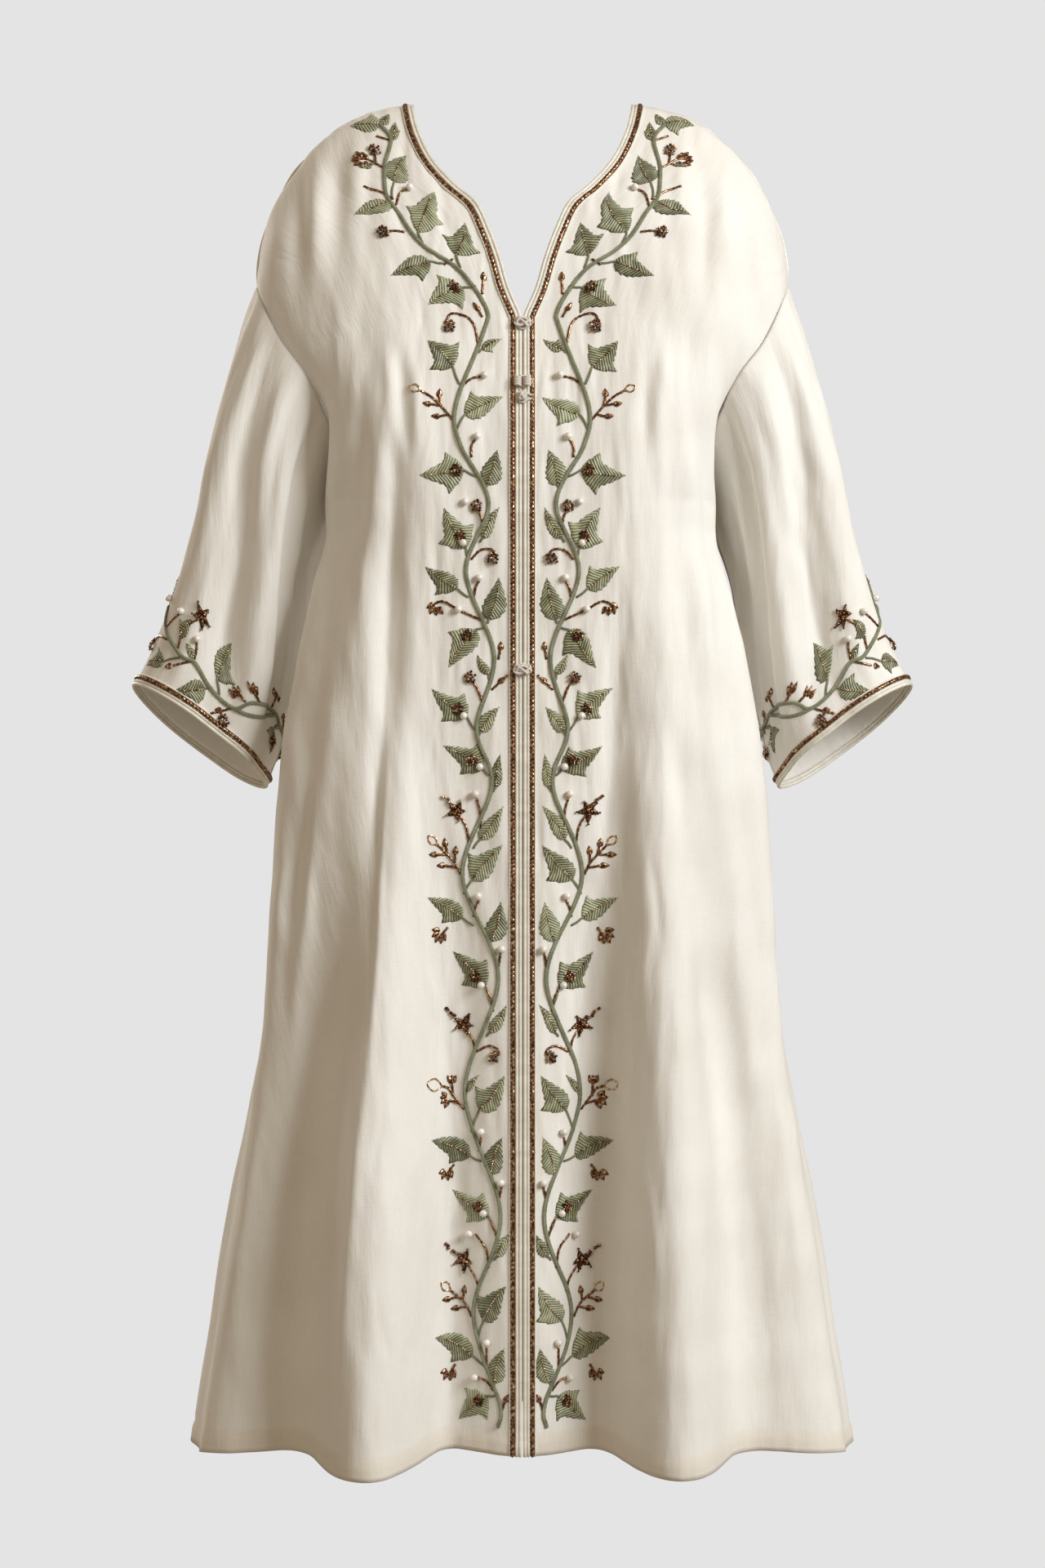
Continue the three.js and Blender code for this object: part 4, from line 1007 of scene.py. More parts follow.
# The halves share the points of the middle line below the neck, so the left ones there are left out
right_half, left_half = back_halves["right"], back_halves["left"]
grid_shape = right_half[3].shape
half_size = right_half[3].size
right_number = np.arange(half_size).reshape(grid_shape)
left_number = right_number + half_size
left_number[NECK_POINT_ROW:, 0] = right_number[NECK_POINT_ROW:, 0]
right_faces, left_faces = (
    np.stack([n[:-1, :-1], n[:-1, 1:], n[1:, 1:], n[1:, :-1]], axis=-1).reshape(-1, 4)
    for n in (right_number, left_number)
)
rims = (
    right_number[0],
    right_number[:, -1],
    np.r_[right_number[-1, ::-1], left_number[-1, 1:]],
    left_number[::-1, -1],
    left_number[0, ::-1],
    np.r_[left_number[: NECK_POINT_ROW + 1, 0], right_number[NECK_POINT_ROW - 1 :: -1, 0]],
)
used, faces = np.unique(np.concatenate([right_faces, left_faces[:, ::-1]]), return_inverse=True)
back_points, back_normals, back_flat, back_hem = (
    np.concatenate([right.reshape(half_size, -1), left.reshape(half_size, -1)])[used]
    for right, left in zip(right_half, left_half)
)
wall = shell(
    back_points,
    back_normals,
    faces.reshape(-1, 4),
    [np.searchsorted(used, line) for line in rims],
    back_flat,
    back_hem[:, 0],
)
piece = make_object("back_panel", [wall], cloth)
seat(piece, "cloth", "back")

# Sleeves
# Each sleeve is one wide piece of the same cloth, sewn into the dropped armhole and closed under the
# arm. It widens to an open cuff below the elbow, with long soft folds from the armhole down.
SLEEVE_COLUMNS = 156
SLEEVE_ROWS = 116
CUFF_EDGING_WIDE = 0.0068
CUFF_OUTER = np.array([-0.360, 0.014, -0.538])
CUFF_INNER = np.array([-0.238, 0.020, -0.626])
CUFF_FRONT = np.array([0, -0.060, 0.018])
# The ways that the sleeve leaves the armhole and reaches the cuff, with more across in some places
SLEEVE_LEAVES = {
    "across": 0.36,
    "across_in_front": 0.24,
    "across_inside": 0.1,
    "forward": 0.12,
    "down": 0.9,
}
SLEEVE_REACHES = {"across": 0.46, "across_outside": 0.06, "down": 0.86}
# Where each fold leaves the armhole and meets the cuff, and its half width, in degrees round the sleeve
SLEEVE_FOLDS = table(
    "armhole cuff depth wide",
    (38, 40, 0.007, 24),
    (66, 98, -0.015, 19),
    (102, 128, 0.011, 22),
    (150, 160, -0.007, 20),
    (236, 246, -0.012, 22),
    (285, 290, 0.008, 26),
)
SLEEVE_FOLDS_FULL = 0.45
SLEEVE_FOLDS_WANE = 0.75
CUFF_FOLD_SHARE = 0.25
SLEEVE_FLATNESS = 0.8
SLEEVE_LONG = 0.42
SLEEVE_ROUND = 0.5
SLEEVE_CALM = 0.05
CUFF_CALM = 0.9
ARMHOLE_SAMPLES = 160
SLEEVE_CREASE_GROWS = (-0.1, 0.3)
SLEEVE_CREASE_FADES = (0.65, 1.15)
# down is a share of the way from the armhole to the cuff
SLEEVE_CREASES = table(
    "degrees down end_degrees end_down depth wide ends_wide",
    (30, 0.02, 34, 0.30, -0.0021, 5, 7),
    (48, 0.03, 52, 0.40, 0.0015, 4, 6),
    (58, 0.02, 72, 0.52, -0.0025, 5, 7),
    (76, 0.03, 92, 0.44, 0.0018, 4, 6),
    (88, 0.02, 108, 0.60, -0.0022, 5, 7),
    (104, 0.05, 122, 0.50, 0.0014, 4, 6),
    (118, 0.02, 136, 0.55, -0.0021, 5, 8),
    (20, 0.35, 26, 0.90, -0.0015, 6, 8),
    (60, 0.50, 66, 1.02, 0.0014, 4, 5),
    (84, 0.55, 94, 1.05, -0.0018, 5, 6),
    (112, 0.60, 120, 1.04, 0.0011, 4, 5),
    (140, 0.30, 150, 0.80, -0.0020, 6, 8),
    (168, 0.05, 172, 0.40, -0.0025, 6, 9),
    (184, 0.03, 190, 0.36, 0.0018, 5, 7),
    (200, 0.04, 212, 0.50, -0.0024, 6, 8),
    (226, 0.03, 238, 0.44, 0.0015, 5, 6),
    (252, 0.05, 262, 0.60, -0.0021, 6, 8),
    (276, 0.20, 284, 0.80, -0.0018, 6, 8),
    (300, 0.04, 304, 0.46, -0.0018, 5, 7),
    (326, 0.10, 330, 0.62, 0.0014, 5, 7),
    (345, 0.30, 350, 0.90, -0.0014, 6, 8),
    (108, 0.01, 150, 0.97, -0.0085, 5, 6),
    (119, 0.03, 160, 0.80, 0.0040, 5, 6),
)


def cuff_point(angle):
    """Points of the cuff's finished edge, an ellipse: its middle, with half of the line from the inner
    to the outer end times the cosine, and the reach to the front times the sine."""
    angle = angle[:, None]
    middle = (CUFF_OUTER + CUFF_INNER) / 2
    return middle + (CUFF_OUTER - CUFF_INNER) / 2 * np.cos(angle) + CUFF_FRONT * np.sin(angle)


def armhole_way(angle):
    """The way that the sleeve leaves the armhole, round its angle."""
    ways = SLEEVE_LEAVES
    out = ways["across"] + ways["across_in_front"] * np.sin(angle) ** 2
    out = out + ways["across_inside"] * np.sin(angle / 2) ** 2
    return unit(np.stack([-out, -ways["forward"] * np.sin(angle), -ways["down"] + 0 * out], axis=-1))


def cuff_way(angle):
    """The way that the sleeve reaches the cuff, round its angle."""
    out = SLEEVE_REACHES["across"] + SLEEVE_REACHES["across_outside"] * np.cos(angle)
    return unit(np.stack([-out, 0 * out, -SLEEVE_REACHES["down"] + 0 * out], axis=-1))


def spread_evenly(line, count):
    """Points at equal steps of a line's length, both ends included."""
    return evenly(line[None], count)[0]


def round_normals(points):
    """Which way a tube's wall faces, for a grid of rings whose last column is beside its first."""
    around = np.roll(points, -1, axis=1) - np.roll(points, 1, axis=1)
    along = np.gradient(points, axis=0)
    normal = unit(np.cross(around, along))
    return normal if (normal * (points - points.mean(axis=1, keepdims=True))).sum() > 0 else -normal


def sleeve_rings(seed):
    """Rings of the wearer's right sleeve. Each line down it is a cubic from the armhole seam to the cuff
    with a given way at both ends, moved out by the folds and creases round its angle. A ring's first
    point is at the seam under the arm."""
    half = SLEEVE_COLUMNS // 2
    station = np.linspace(0, 2, ARMHOLE_SAMPLES)
    front = spread_evenly(from_table(FRONT_ARMHOLE, station), half)
    back = spread_evenly(from_table(BACK_ARMHOLE, station)[::-1], half)
    start = np.concatenate([front[:-1], back[:-1]])
    angle = np.linspace(0, 2 * math.pi, 2 * half, endpoint=False)
    end = cuff_point(angle) - CUFF_EDGING_WIDE * cuff_way(angle)
    pull = np.linalg.norm(end - start, axis=-1, keepdims=True)
    t = np.linspace(0, 1, SLEEVE_ROWS + 1)[:, None, None]
    share = (1 + 2 * t) * (1 - t) ** 2
    points = share * start + (1 - share) * end
    points = points + t * (1 - t) ** 2 * pull * armhole_way(angle)
    points = points + t * t * (t - 1) * pull * cuff_way(angle)
    t = t[..., 0]
    degrees = np.degrees(angle)[None]
    shift = np.zeros((SLEEVE_ROWS + 1, 2 * half))
    for fold in SLEEVE_FOLDS:
        offset = (degrees - mix(fold["armhole"], fold["cuff"], t)) / fold["wide"]
        shift += fold["depth"] * np.exp(-(offset**2))
    shift *= ease(0, SLEEVE_FOLDS_FULL, t) * mix(1, CUFF_FOLD_SHARE, ease(SLEEVE_FOLDS_WANE, 1, t))
    out = unit(np.stack([-np.cos(angle) * SLEEVE_FLATNESS, -np.sin(angle), 0 * angle], axis=-1))
    points = points + shift[..., None] * out
    height = np.zeros(shift.shape)
    for crease in SLEEVE_CREASES:
        along = (t - crease["down"]) / (crease["end_down"] - crease["down"])
        middle = mix(crease["degrees"], crease["end_degrees"], np.clip(along, 0, 1.3))
        aside = (degrees - middle + 180) % 360 - 180
        wide = mix(crease["wide"], crease["ends_wide"], np.clip(along, 0, 1))
        fade = ease(*SLEEVE_CREASE_GROWS, along) * (1 - ease(*SLEEVE_CREASE_FADES, along))
        height += crease["depth"] * fade * np.exp(-((aside / wide) ** 2))
    reach = np.broadcast_to(t * SLEEVE_LONG, shift.shape)
    around = np.broadcast_to(degrees / 360 * SLEEVE_ROUND, shift.shape)
    height += rumple_height(around, reach, seed) * ease(0, SLEEVE_CALM, t) * (1 - ease(CUFF_CALM, 1, t))
    height -= SEAM_GROOVE * np.exp(-((reach / SEAM_GROOVE_WIDE) ** 2))
    points = points + round_normals(points) * height[..., None]
    points = np.roll(points, half, axis=1)
    return points, round_normals(points)


sleeves = {}
for side, seed in (("right", 61), ("left", 67)):
    points, normals = sleeve_rings(seed)
    if side == "left":
        points, normals = points * MIRROR, normals * MIRROR
    closed_up = np.concatenate([points, points[:, :1]], axis=1)
    flat = lengths_over(closed_up)[:, :-1]
    sleeves[side] = (points, normals, flat)
    rows, columns = points.shape[:2]
    number = np.arange(rows * columns).reshape(rows, columns)
    wall = shell(
        points.reshape(-1, 3),
        normals.reshape(-1, 3),
        grid_faces(rows, columns, wrap_columns=True),
        (np.r_[number[0], 0], np.r_[number[-1, 0], number[-1, ::-1]]),
        flat.reshape(-1, 2),
        np.zeros(number.size),
    )
    piece = make_object(f"sleeve_tube_{side}", [wall], cloth)
    seat(piece, "cloth", f"sleeve_{side}")

# Piping
# Two round satin-covered cords lie side by side along each front edge, round the neck and round each
# cuff. They are sewn to the cut edge of the cloth and cover it.
PIPING_RADIUS = 0.00162
PIPING_PLACES = (0.0049, 0.00175)
PIPING_SIDES = 12
PIPING_STEP = 0.006
TIP_SHARE = 0.6


def body_of_rings(rings, first, last, flat, shade):
    """A closed body through rings of points, with a tip at each end where first and last are given. A
    body without tips closes on itself."""
    count, sides = rings.shape[:2]
    points = rings.reshape(-1, 3)
    uv = flat.reshape(-1, 2)
    quads = grid_faces(count, sides, wrap_rows=first is None, wrap_columns=True)
    tips = None
    if first is not None:
        around = np.arange(sides)
        beside = (around + 1) % sides
        a, b = len(points), len(points) + 1
        end = (count - 1) * sides
        tips = np.concatenate(
            [
                np.stack([beside, around, a + 0 * around], axis=-1),
                np.stack([end + around, end + beside, b + 0 * around], axis=-1),
            ]
        )
        points = np.concatenate([points, [first, last]])
        uv = np.concatenate([uv, [uv[0], uv[-1]]])
    if not np.array_equal(outwards(points, quads), quads):
        quads = quads[:, ::-1]
        tips = None if tips is None else tips[:, ::-1]
    return points, quads, tips, uv, np.full(len(points), float(shade))


def along_line(line, up, step, closed=False):
    """Even steps along a line: its points, the way it runs, and two directions square to it, aside and
    up. Gives the length so far too."""
    if closed:
        line, up = np.concatenate([line, line[:1]]), np.concatenate([up, up[:1]])
    length = np.r_[0, np.cumsum(np.linalg.norm(np.diff(line, axis=0), axis=1))]
    count = max(3, int(round(length[-1] / step)))
    at = np.linspace(0, length[-1], count + 1)
    points = np.stack([np.interp(at, length, line[:, axis]) for axis in range(3)], axis=-1)
    ups = np.stack([np.interp(at, length, up[:, axis]) for axis in range(3)], axis=-1)
    if closed:
        points, ups, at = points[:-1], ups[:-1], at[:-1]
        way = unit(np.roll(points, -1, axis=0) - np.roll(points, 1, axis=0))
    else:
        way = unit(np.gradient(points, axis=0))
    aside = unit(np.cross(ups, way))
    return points, way, aside, np.cross(way, aside), at


def rod(
    line, up, radius, sides, step, closed=False, shade=0.0, strands=0, relief=0.0, pitch=1.0, flat=1.0
):
    """A cord along a line. Its section is round, or has as many lobes as it has strands, and the lobes
    turn once in each pitch of its length. flat squashes it towards the cloth."""
    points, way, aside, above, at = along_line(line, up, step, closed)
    if closed and strands:
        pitch = at[-1] / max(1, round(at[-1] / pitch))
    turn = np.linspace(0, 2 * math.pi, sides, endpoint=False)[None]
    lobes = 1 + relief * np.cos(strands * turn - 2 * math.pi * strands * at[:, None] / pitch)
    reach = (radius * lobes)[..., None]
    rings = points[:, None] + reach * (
        np.cos(turn)[..., None] * aside[:, None] + flat * np.sin(turn)[..., None] * above[:, None]
    )
    place = np.stack(np.broadcast_arrays(at[:, None], turn * radius), axis=-1)
    tips = (None, None)
    if not closed:
        tips = (points[0] - way[0] * radius * TIP_SHARE, points[-1] + way[-1] * radius * TIP_SHARE)
    return body_of_rings(rings, *tips, place, shade)


# Each trimmed edge: where its cloth stops, the way into the cloth from there, and the way it faces
edges = {}
neck_stations = back_stations[: NECK_POINT_ROW + 1]
for side in ("right", "left"):
    turned = MIRROR if side == "left" else 1
    points, normals, _ = fronts[side]
    away = away_from_edge(front_edge, 1, front_stations, 3) * turned
    edges[f"front_{side}"] = (points[:, 0], away, normals[:, 0], False)
    sleeve_points, sleeve_normals, _ = sleeves[side]
    away = sleeve_points[-2] - sleeve_points[-1]
    edges[f"cuff_{side}"] = (sleeve_points[-1], away, sleeve_normals[-1], True)
right_away = away_from_edge(back_edge, -1, neck_stations, 1)
right_neck = (right_half[0][: NECK_POINT_ROW + 1, 0], right_away, right_half[1][: NECK_POINT_ROW + 1, 0])
left_neck = (left_half[0][:NECK_POINT_ROW, 0], right_away[:-1] * MIRROR, left_half[1][:NECK_POINT_ROW, 0])
edges["back_neck"] = (*(np.concatenate([a, b[::-1]]) for a, b in zip(right_neck, left_neck)), False)
for name, (line, away, up, closed) in edges.items():
    away = unit(away - (away * up).sum(axis=-1, keepdims=True) * up)
    edges[name] = (line, away, up, closed)

# Threads that lie aslant on a cord: a wave of the length along it and a share of the length round it
slanting, slanting_in, slanting_out = shared_group(
    "slanting_threads",
    [
        ("Place", "NodeSocketVector", None),
        ("Slant", "NodeSocketFloat", 1.0),
        ("Turns", "NodeSocketFloat", 4200.0),
    ],
    [("Height", "NodeSocketFloat")],
)
slanting_split = add_node(slanting, "ShaderNodeSeparateXYZ", _0=slanting_in.outputs["Place"])
slanting_place = maths(
    slanting,
    "MULTIPLY_ADD",
    slanting_split.outputs[1],
    slanting_in.outputs["Slant"],
    slanting_split.outputs[0],
)
slanting_phase = maths(slanting, "MULTIPLY", slanting_place, slanting_in.outputs["Turns"])
slanting.links.new(maths(slanting, "SINE", slanting_phase), slanting_out.inputs["Height"])

satin, satin_tree, satin_shader = new_material("cream_satin_piping")
satin_place = place_on_piece(satin_tree)
satin_threads = place_group(satin_tree, slanting, Place=satin_place, Slant=1.0, Turns=4200.0)
satin_noise = noise(satin_tree, satin_place, 140.0, 3.0)
finish(
    satin_tree,
    satin_shader,
    satin_threads["Height"],
    0.2,
    0.0002,
    Base_Color=ramp(satin_tree, satin_noise, (0.3, (0.74, 0.70, 0.59)), (0.7, (0.88, 0.85, 0.77))),
    Roughness=0.42,
    Sheen_Weight=0.3,
)

PIPING_NODES = {
    "front_right": "edging_right",
    "front_left": "edging_left",
    "back_neck": "edging_back_neck",
    "cuff_right": "cuff_edging_right",
    "cuff_left": "cuff_edging_left",
}
for name, (line, away, up, closed) in edges.items():
    cords = [
        rod(line - away * place, up, PIPING_RADIUS, PIPING_SIDES, PIPING_STEP, closed)
        for place in PIPING_PLACES
    ]
    seat(make_object(f"piping_{name}", cords, satin), "piping", PIPING_NODES[name])

# Braid
# A braid of bronze metal thread lies on the cloth beside the piping, with a thin cream cord couched
# along its outer side. Both are sewn down with stitches that do not show.
BRAID_RADIUS = 0.00165
BRAID_PLACE = 0.0017
BRAID_STEP = 0.00105
BRAID_PITCH = 0.0076
BRAID_LIFT = 0.75
CORD_LIFT = 0.6
CORD_RADIUS = 0.00085
CORD_PLACE = 0.0043

# Dark bronze with pale gold glints painted into its colour as painted highlights, most of them on the pieces
# and beads that have a high shade
metal, metal_tree, metal_shader = new_material("bronze_metal_thread")
metal_noise = noise(metal_tree, place_on_piece(metal_tree), 320.0, 3.0)
# The brightest stop is a painted highlight: glints painted into the colour where the noise is high
bronze_and_painted_glints = ramp(
    metal_tree,
    maths(metal_tree, "MULTIPLY_ADD", shade_of(metal_tree), 0.3, metal_noise),
    (0.48, (0.046, 0.016, 0.008)),
    (0.62, (0.175, 0.073, 0.031)),
    (0.73, (0.42, 0.24, 0.13)),
    (0.84, (0.95, 0.77, 0.53)),
)
finish(
    metal_tree,
    metal_shader,
    metal_noise,
    0.5,
    0.0004,
    Base_Color=bronze_and_painted_glints,
    Metallic=0.85,
    Roughness=0.28,
)

BRAID_NODES = {
    "front_right": "braid_right",
    "front_left": "braid_left",
    "back_neck": "braid_back_neck",
    "cuff_right": "cuff_braid_right",
    "cuff_left": "cuff_braid_left",
}
for name, (line, away, up, closed) in edges.items():
    braid = rod(
        line + away * BRAID_PLACE + up * BRAID_RADIUS * BRAID_LIFT,
        up,
        BRAID_RADIUS,
        9,
        BRAID_STEP,
        closed,
        strands=2,
        relief=0.3,
        pitch=BRAID_PITCH,
        flat=0.85,
        shade=0.5,
    )
    seat(make_object(f"braid_{name}", [braid], metal), "metal_braid", BRAID_NODES[name])
    beside = line + away * CORD_PLACE + up * CORD_RADIUS * CORD_LIFT
    cord = rod(beside, up, CORD_RADIUS, 6, PIPING_STEP, closed)
    seat(make_object(f"couched_cord_{name}", [cord], satin), "piping")

# Closures
# Four knot buttons of pale silk cord sit on the right front's piping. Each is held by a loop of the
# same cord from the left front.
KNOT_CORD_RADIUS = 0.00125
KNOT_CORD_SIDES = 8
KNOT_CORD_STEP = 0.0009
KNOT_LIFT = 0.0026
KNOT_SAMPLES = 220
KNOT_SWING = 0.95
KNOT_CROSSING = 0.17
BARREL_COIL_RADIUS = 0.002376
BARREL_LONG = 0.0088
BARREL_APART = 0.0042
BARREL_TURNS = 4
LOOP_REACH = 0.0068
LOOP_ENDS_APART = 0.003
LOOP_CORD_RADIUS = 0.0011
LOOP_TURN = 0.0047
LOOP_OVERLAP = 0.001
LOOP_OPEN_AT = (38, 322)
LOOP_SAMPLES = 24
# Down from the shoulders, and half of the knot's width, height and thickness. The second closure is a
# pair of barrels of wound cord instead.
CLOSURES = (
    ("top", 0.217, (0.0066, 0.0044, 0.0030)),
    ("second", 0.270, None),
    ("third", 0.284, (0.0030, 0.0030, 0.0024)),
    ("low", 0.524, (0.0072, 0.0040, 0.0030)),
)

silk, silk_tree, silk_shader = new_material("pale_silk_cord")
silk_threads = place_group(silk_tree, slanting, Place=place_on_piece(silk_tree), Slant=1.6, Turns=5200.0)
# The cord's colour is darker in the grooves between its threads and lighter on their crests: painted shade
silk_with_groove_shade = ramp(silk_tree, silk_threads["Height"], (0.0, (0.78, 0.70, 0.61)), (0.8, (0.93, 0.88, 0.81)))
finish(
    silk_tree,
    silk_shader,
    silk_threads["Height"],
    0.5,
    0.0004,
    Base_Color=silk_with_groove_shade,
    Roughness=0.45,
    Sheen_Weight=0.4,
)


def woven_knot(half):
    """The line of a cord wound three times about a ball and crossing over and under itself: its angle
    goes round three times while its height and its depth swing four and eight times."""
    t = np.linspace(0, 2 * math.pi, KNOT_SAMPLES, endpoint=False)
    tilt = KNOT_SWING * np.sin(4 * t)
    reach = 1 - KNOT_CROSSING * np.sin(8 * t)
    ball = np.stack([np.cos(tilt) * np.cos(3 * t), np.cos(tilt) * np.sin(3 * t), np.sin(tilt)], axis=-1)
    wide, high, thick = half
    return ball * reach[:, None] * np.array([wide, thick, high]), unit(ball)


def barrel_coil(x):
    """The line of a cord wound into a barrel at a distance x from the middle: a circle that climbs."""
    turn = np.linspace(0, 2 * math.pi * BARREL_TURNS, 26 * BARREL_TURNS)
    climb = np.linspace(-0.5, 0.5, len(turn)) * BARREL_LONG
    out = np.stack([np.cos(turn), np.sin(turn), 0 * turn], axis=-1)
    return out * BARREL_COIL_RADIUS + np.stack([x + 0 * turn, 0 * turn, climb], axis=-1), out


def loop_line(reach):
    """The line of a cord loop: most of a circle, with two straight ends that lie side by side."""
    turn = np.radians(np.linspace(*LOOP_OPEN_AT, LOOP_SAMPLES))
    end = LOOP_REACH + LOOP_OVERLAP
    across = np.r_[end, reach * np.cos(turn), end]
    high = np.r_[LOOP_ENDS_APART / 2, reach * np.sin(turn), -LOOP_ENDS_APART / 2]
    return np.stack([across, 0 * across + LOOP_CORD_RADIUS * 0.7, high], axis=-1)


front_line = (edges["front_right"][0] + edges["front_left"][0]) / 2
for name, down, half in CLOSURES:
    row = np.searchsorted(-front_line[:, 2], down)
    way = unit(front_line[row + 1] - front_line[row - 1]) * np.array([0, 1, 1])
    up = unit(np.array([0, way[2], -way[1]]))
    place = np.array([0, front_line[row, 1], -down]) + up * PIPING_RADIUS
    axes = np.array([[1, 0, 0], up, -way])
    if half is None:
        lines = [barrel_coil(x) for x in (-BARREL_APART, BARREL_APART)]
        reach = LOOP_TURN
    else:
        lines = [woven_knot(half)]
        reach = max(LOOP_TURN, half[1] + LOOP_CORD_RADIUS)
    cords = [
        rod(
            place + (line + np.array([0, KNOT_LIFT, 0])) @ axes,
            out @ axes,
            KNOT_CORD_RADIUS,
            KNOT_CORD_SIDES,
            KNOT_CORD_STEP,
            closed=half is not None,
        )
        for line, out in lines
    ]
    seat(make_object(f"knot_{name}", cords, silk), "knot_cord", f"button_{name}")
    loop = loop_line(reach)
    loop_up = np.broadcast_to(up, loop.shape)
    cord = rod(place + loop @ axes, loop_up, LOOP_CORD_RADIUS, KNOT_CORD_SIDES, KNOT_CORD_STEP)
    seat(make_object(f"cord_loop_{name}", [cord], silk), "knot_cord", f"loop_{name}")

# Vines
# A vine of sage-green silk, laid and couched as a twisted cord, winds down each front from the shoulder
# to the hem. A shorter one runs round each cuff. Leaf stalks of finer thread branch from it.
VINE_RADIUS = 0.0018
VINE_FLATNESS = 0.75
VINE_STEP = 0.0018
VINE_PITCH = 0.006
LEAF_STALK_RADIUS = 0.0011
LINE_STEPS = 14
EDGE_PALER = 16
CORD_SUNK_TO = 0.45

# Strands of silk: a wave that makes the threads, and a tone that adds a noise to it. The wave in the tone
# paints the grooves between threads darker, a painted shade
strands, strands_in, strands_out = shared_group(
    "stranded_silk",
    [("Phase", "NodeSocketFloat", 0.0), ("Place", "NodeSocketVector", None)],
    [("Height", "NodeSocketFloat"), ("Tone", "NodeSocketFloat")],
)
strands_wave = maths(strands, "SINE", strands_in.outputs["Phase"])
strands_noise = noise(strands, strands_in.outputs["Place"], 110.0, 3.0)
strands.links.new(strands_wave, strands_out.inputs["Height"])
silk_tone_with_groove_shade = maths(strands, "MULTIPLY_ADD", strands_wave, 0.24, strands_noise)
strands.links.new(silk_tone_with_groove_shade, strands_out.inputs["Tone"])


def silk_material(name, pitch, slant, colours):
    """A silk whose threads lie aslant: their phase grows along the piece, and with the distance from its
    middle line, so that they spread like a feather's barbs. It is paler towards its edges."""
    material, tree, shader = new_material(name)
    place = place_on_piece(tree)
    split = add_node(tree, "ShaderNodeSeparateXYZ", _0=place)
    aside = maths(tree, "ABSOLUTE", split.outputs[1])
    sloped = maths(tree, "MULTIPLY_ADD", aside, slant, split.outputs[0])
    thread = place_group(
        tree, strands, Phase=maths(tree, "MULTIPLY", sloped, 2 * math.pi / pitch), Place=place
    )
    # The threads' tone makes the grooves between them darker: painted shade
    shaded = maths(tree, "MULTIPLY_ADD", shade_of(tree), 0.3, thread["Tone"])
    colour = ramp(tree, maths(tree, "MULTIPLY_ADD", aside, EDGE_PALER, shaded), *colours)
    finish(
        tree, shader, thread["Height"], 0.6, 0.0005, Base_Color=colour, Roughness=0.42, Sheen_Weight=0.35
    )
    return material


vine_silk = silk_material(
    "sage_vine_silk",
    0.0011,
    1.2,
    ((0.3, (0.10, 0.102, 0.050)), (0.62, (0.225, 0.238, 0.13)), (0.95, (0.385, 0.415, 0.25))),
)


def cloth_field(points, normals, flat, lengths, side, closed=False):
    """What is needed to lay embroidery on a piece of cloth: its grid of points and normals, their places
    on the flat cloth, each row's length and how far down it is, and whether its rows go all the way
    round. A design is drawn for the wearer's right, so it is turned for the left."""
    return {
        "points": points,
        "normals": normals,
        "flat": flat,
        "length": lengths,
        "down": np.abs(flat[:, 0, 1]),
        "closed": closed,
        "turned": MIRROR if side == "left" else np.ones(3),
        "mirrored": side == "left",
    }


def lay(field, place, lift=0.0):
    """Points on the cloth at given lengths across and down it, raised along the way that it faces. They
    are mixed from the four nearest points of the cloth's grid."""
    rows, columns = field["points"].shape[:2]
    row = np.interp(place[..., 1], field["down"], np.arange(rows))
    above = np.minimum(row.astype(int), rows - 2)
    row_share = row - above
    length = mix(field["length"][above], field["length"][above + 1], row_share)
    spaces = columns if field["closed"] else columns - 1
    column = place[..., 0] / length * spaces
    column = column % spaces if field["closed"] else np.clip(column, 0, spaces - 1e-6)
    left = np.minimum(column.astype(int), spaces - 1)
    column_share = (column - left)[..., None]
    right = (left + 1) % columns
    found = []
    for grid in (field["points"], field["normals"]):
        upper = mix(grid[above, left], grid[above, right], column_share)
        lower = mix(grid[above + 1, left], grid[above + 1, right], column_share)
        found.append(mix(upper, lower, row_share[..., None]))
    up = unit(found[1])
    return found[0] + up * np.asarray(lift)[..., None], up


FIND_STEPS = 8
FIND_STEP = 0.001
FIND_FARTHEST = 0.012
FIND_DAMPING = 0.03


def find(field, seen_places):
    """Lengths across and down the cloth for places in millimetres as the camera sees them. It starts
    from the nearest point of the grid and steps along the surface's slope until the two agree."""
    target = np.asarray(seen_places, dtype=float).reshape(-1, 2) / 1000
    turned = field["turned"]
    across, down = as_seen(field["points"] * turned)
    hidden = (field["normals"][..., 1] > -0.05).ravel()
    gap = (across.ravel() - target[:, :1]) ** 2 + (down.ravel() - target[:, 1:]) ** 2 + hidden
    place = np.abs(field["flat"].reshape(-1, 2)[gap.argmin(axis=1)])
    for _ in range(FIND_STEPS):
        shifted = (place, place + [FIND_STEP, 0], place + [0, FIND_STEP])
        here, ahead, below = (np.stack(as_seen(lay(field, p)[0] * turned), axis=-1) for p in shifted)
        slope = np.stack([ahead - here, below - here], axis=-1) / FIND_STEP
        square = slope.transpose(0, 2, 1) @ slope + FIND_DAMPING * np.eye(2)
        pull = slope.transpose(0, 2, 1) @ (target - here)[..., None]
        move = np.linalg.solve(square, pull)[..., 0]
        place = place + np.clip(move, -FIND_FARTHEST, FIND_FARTHEST)
    return place


def through(places, steps=LINE_STEPS):
    """A smooth line through places on the cloth."""
    rows = table("station across down", *((i, *place) for i, place in enumerate(places)))
    at = np.linspace(0, len(places) - 1, steps * (len(places) - 1) + 1)
    return np.stack([read(rows, "across", at), read(rows, "down", at)], axis=-1)


def cord_on(field, places, radius, **section):
    """A cord laid on the cloth along a smooth line, its lower side just sunk into the cloth."""
    line, up = lay(field, through(places), radius * CORD_SUNK_TO)
    return rod(line, up, radius, **section)


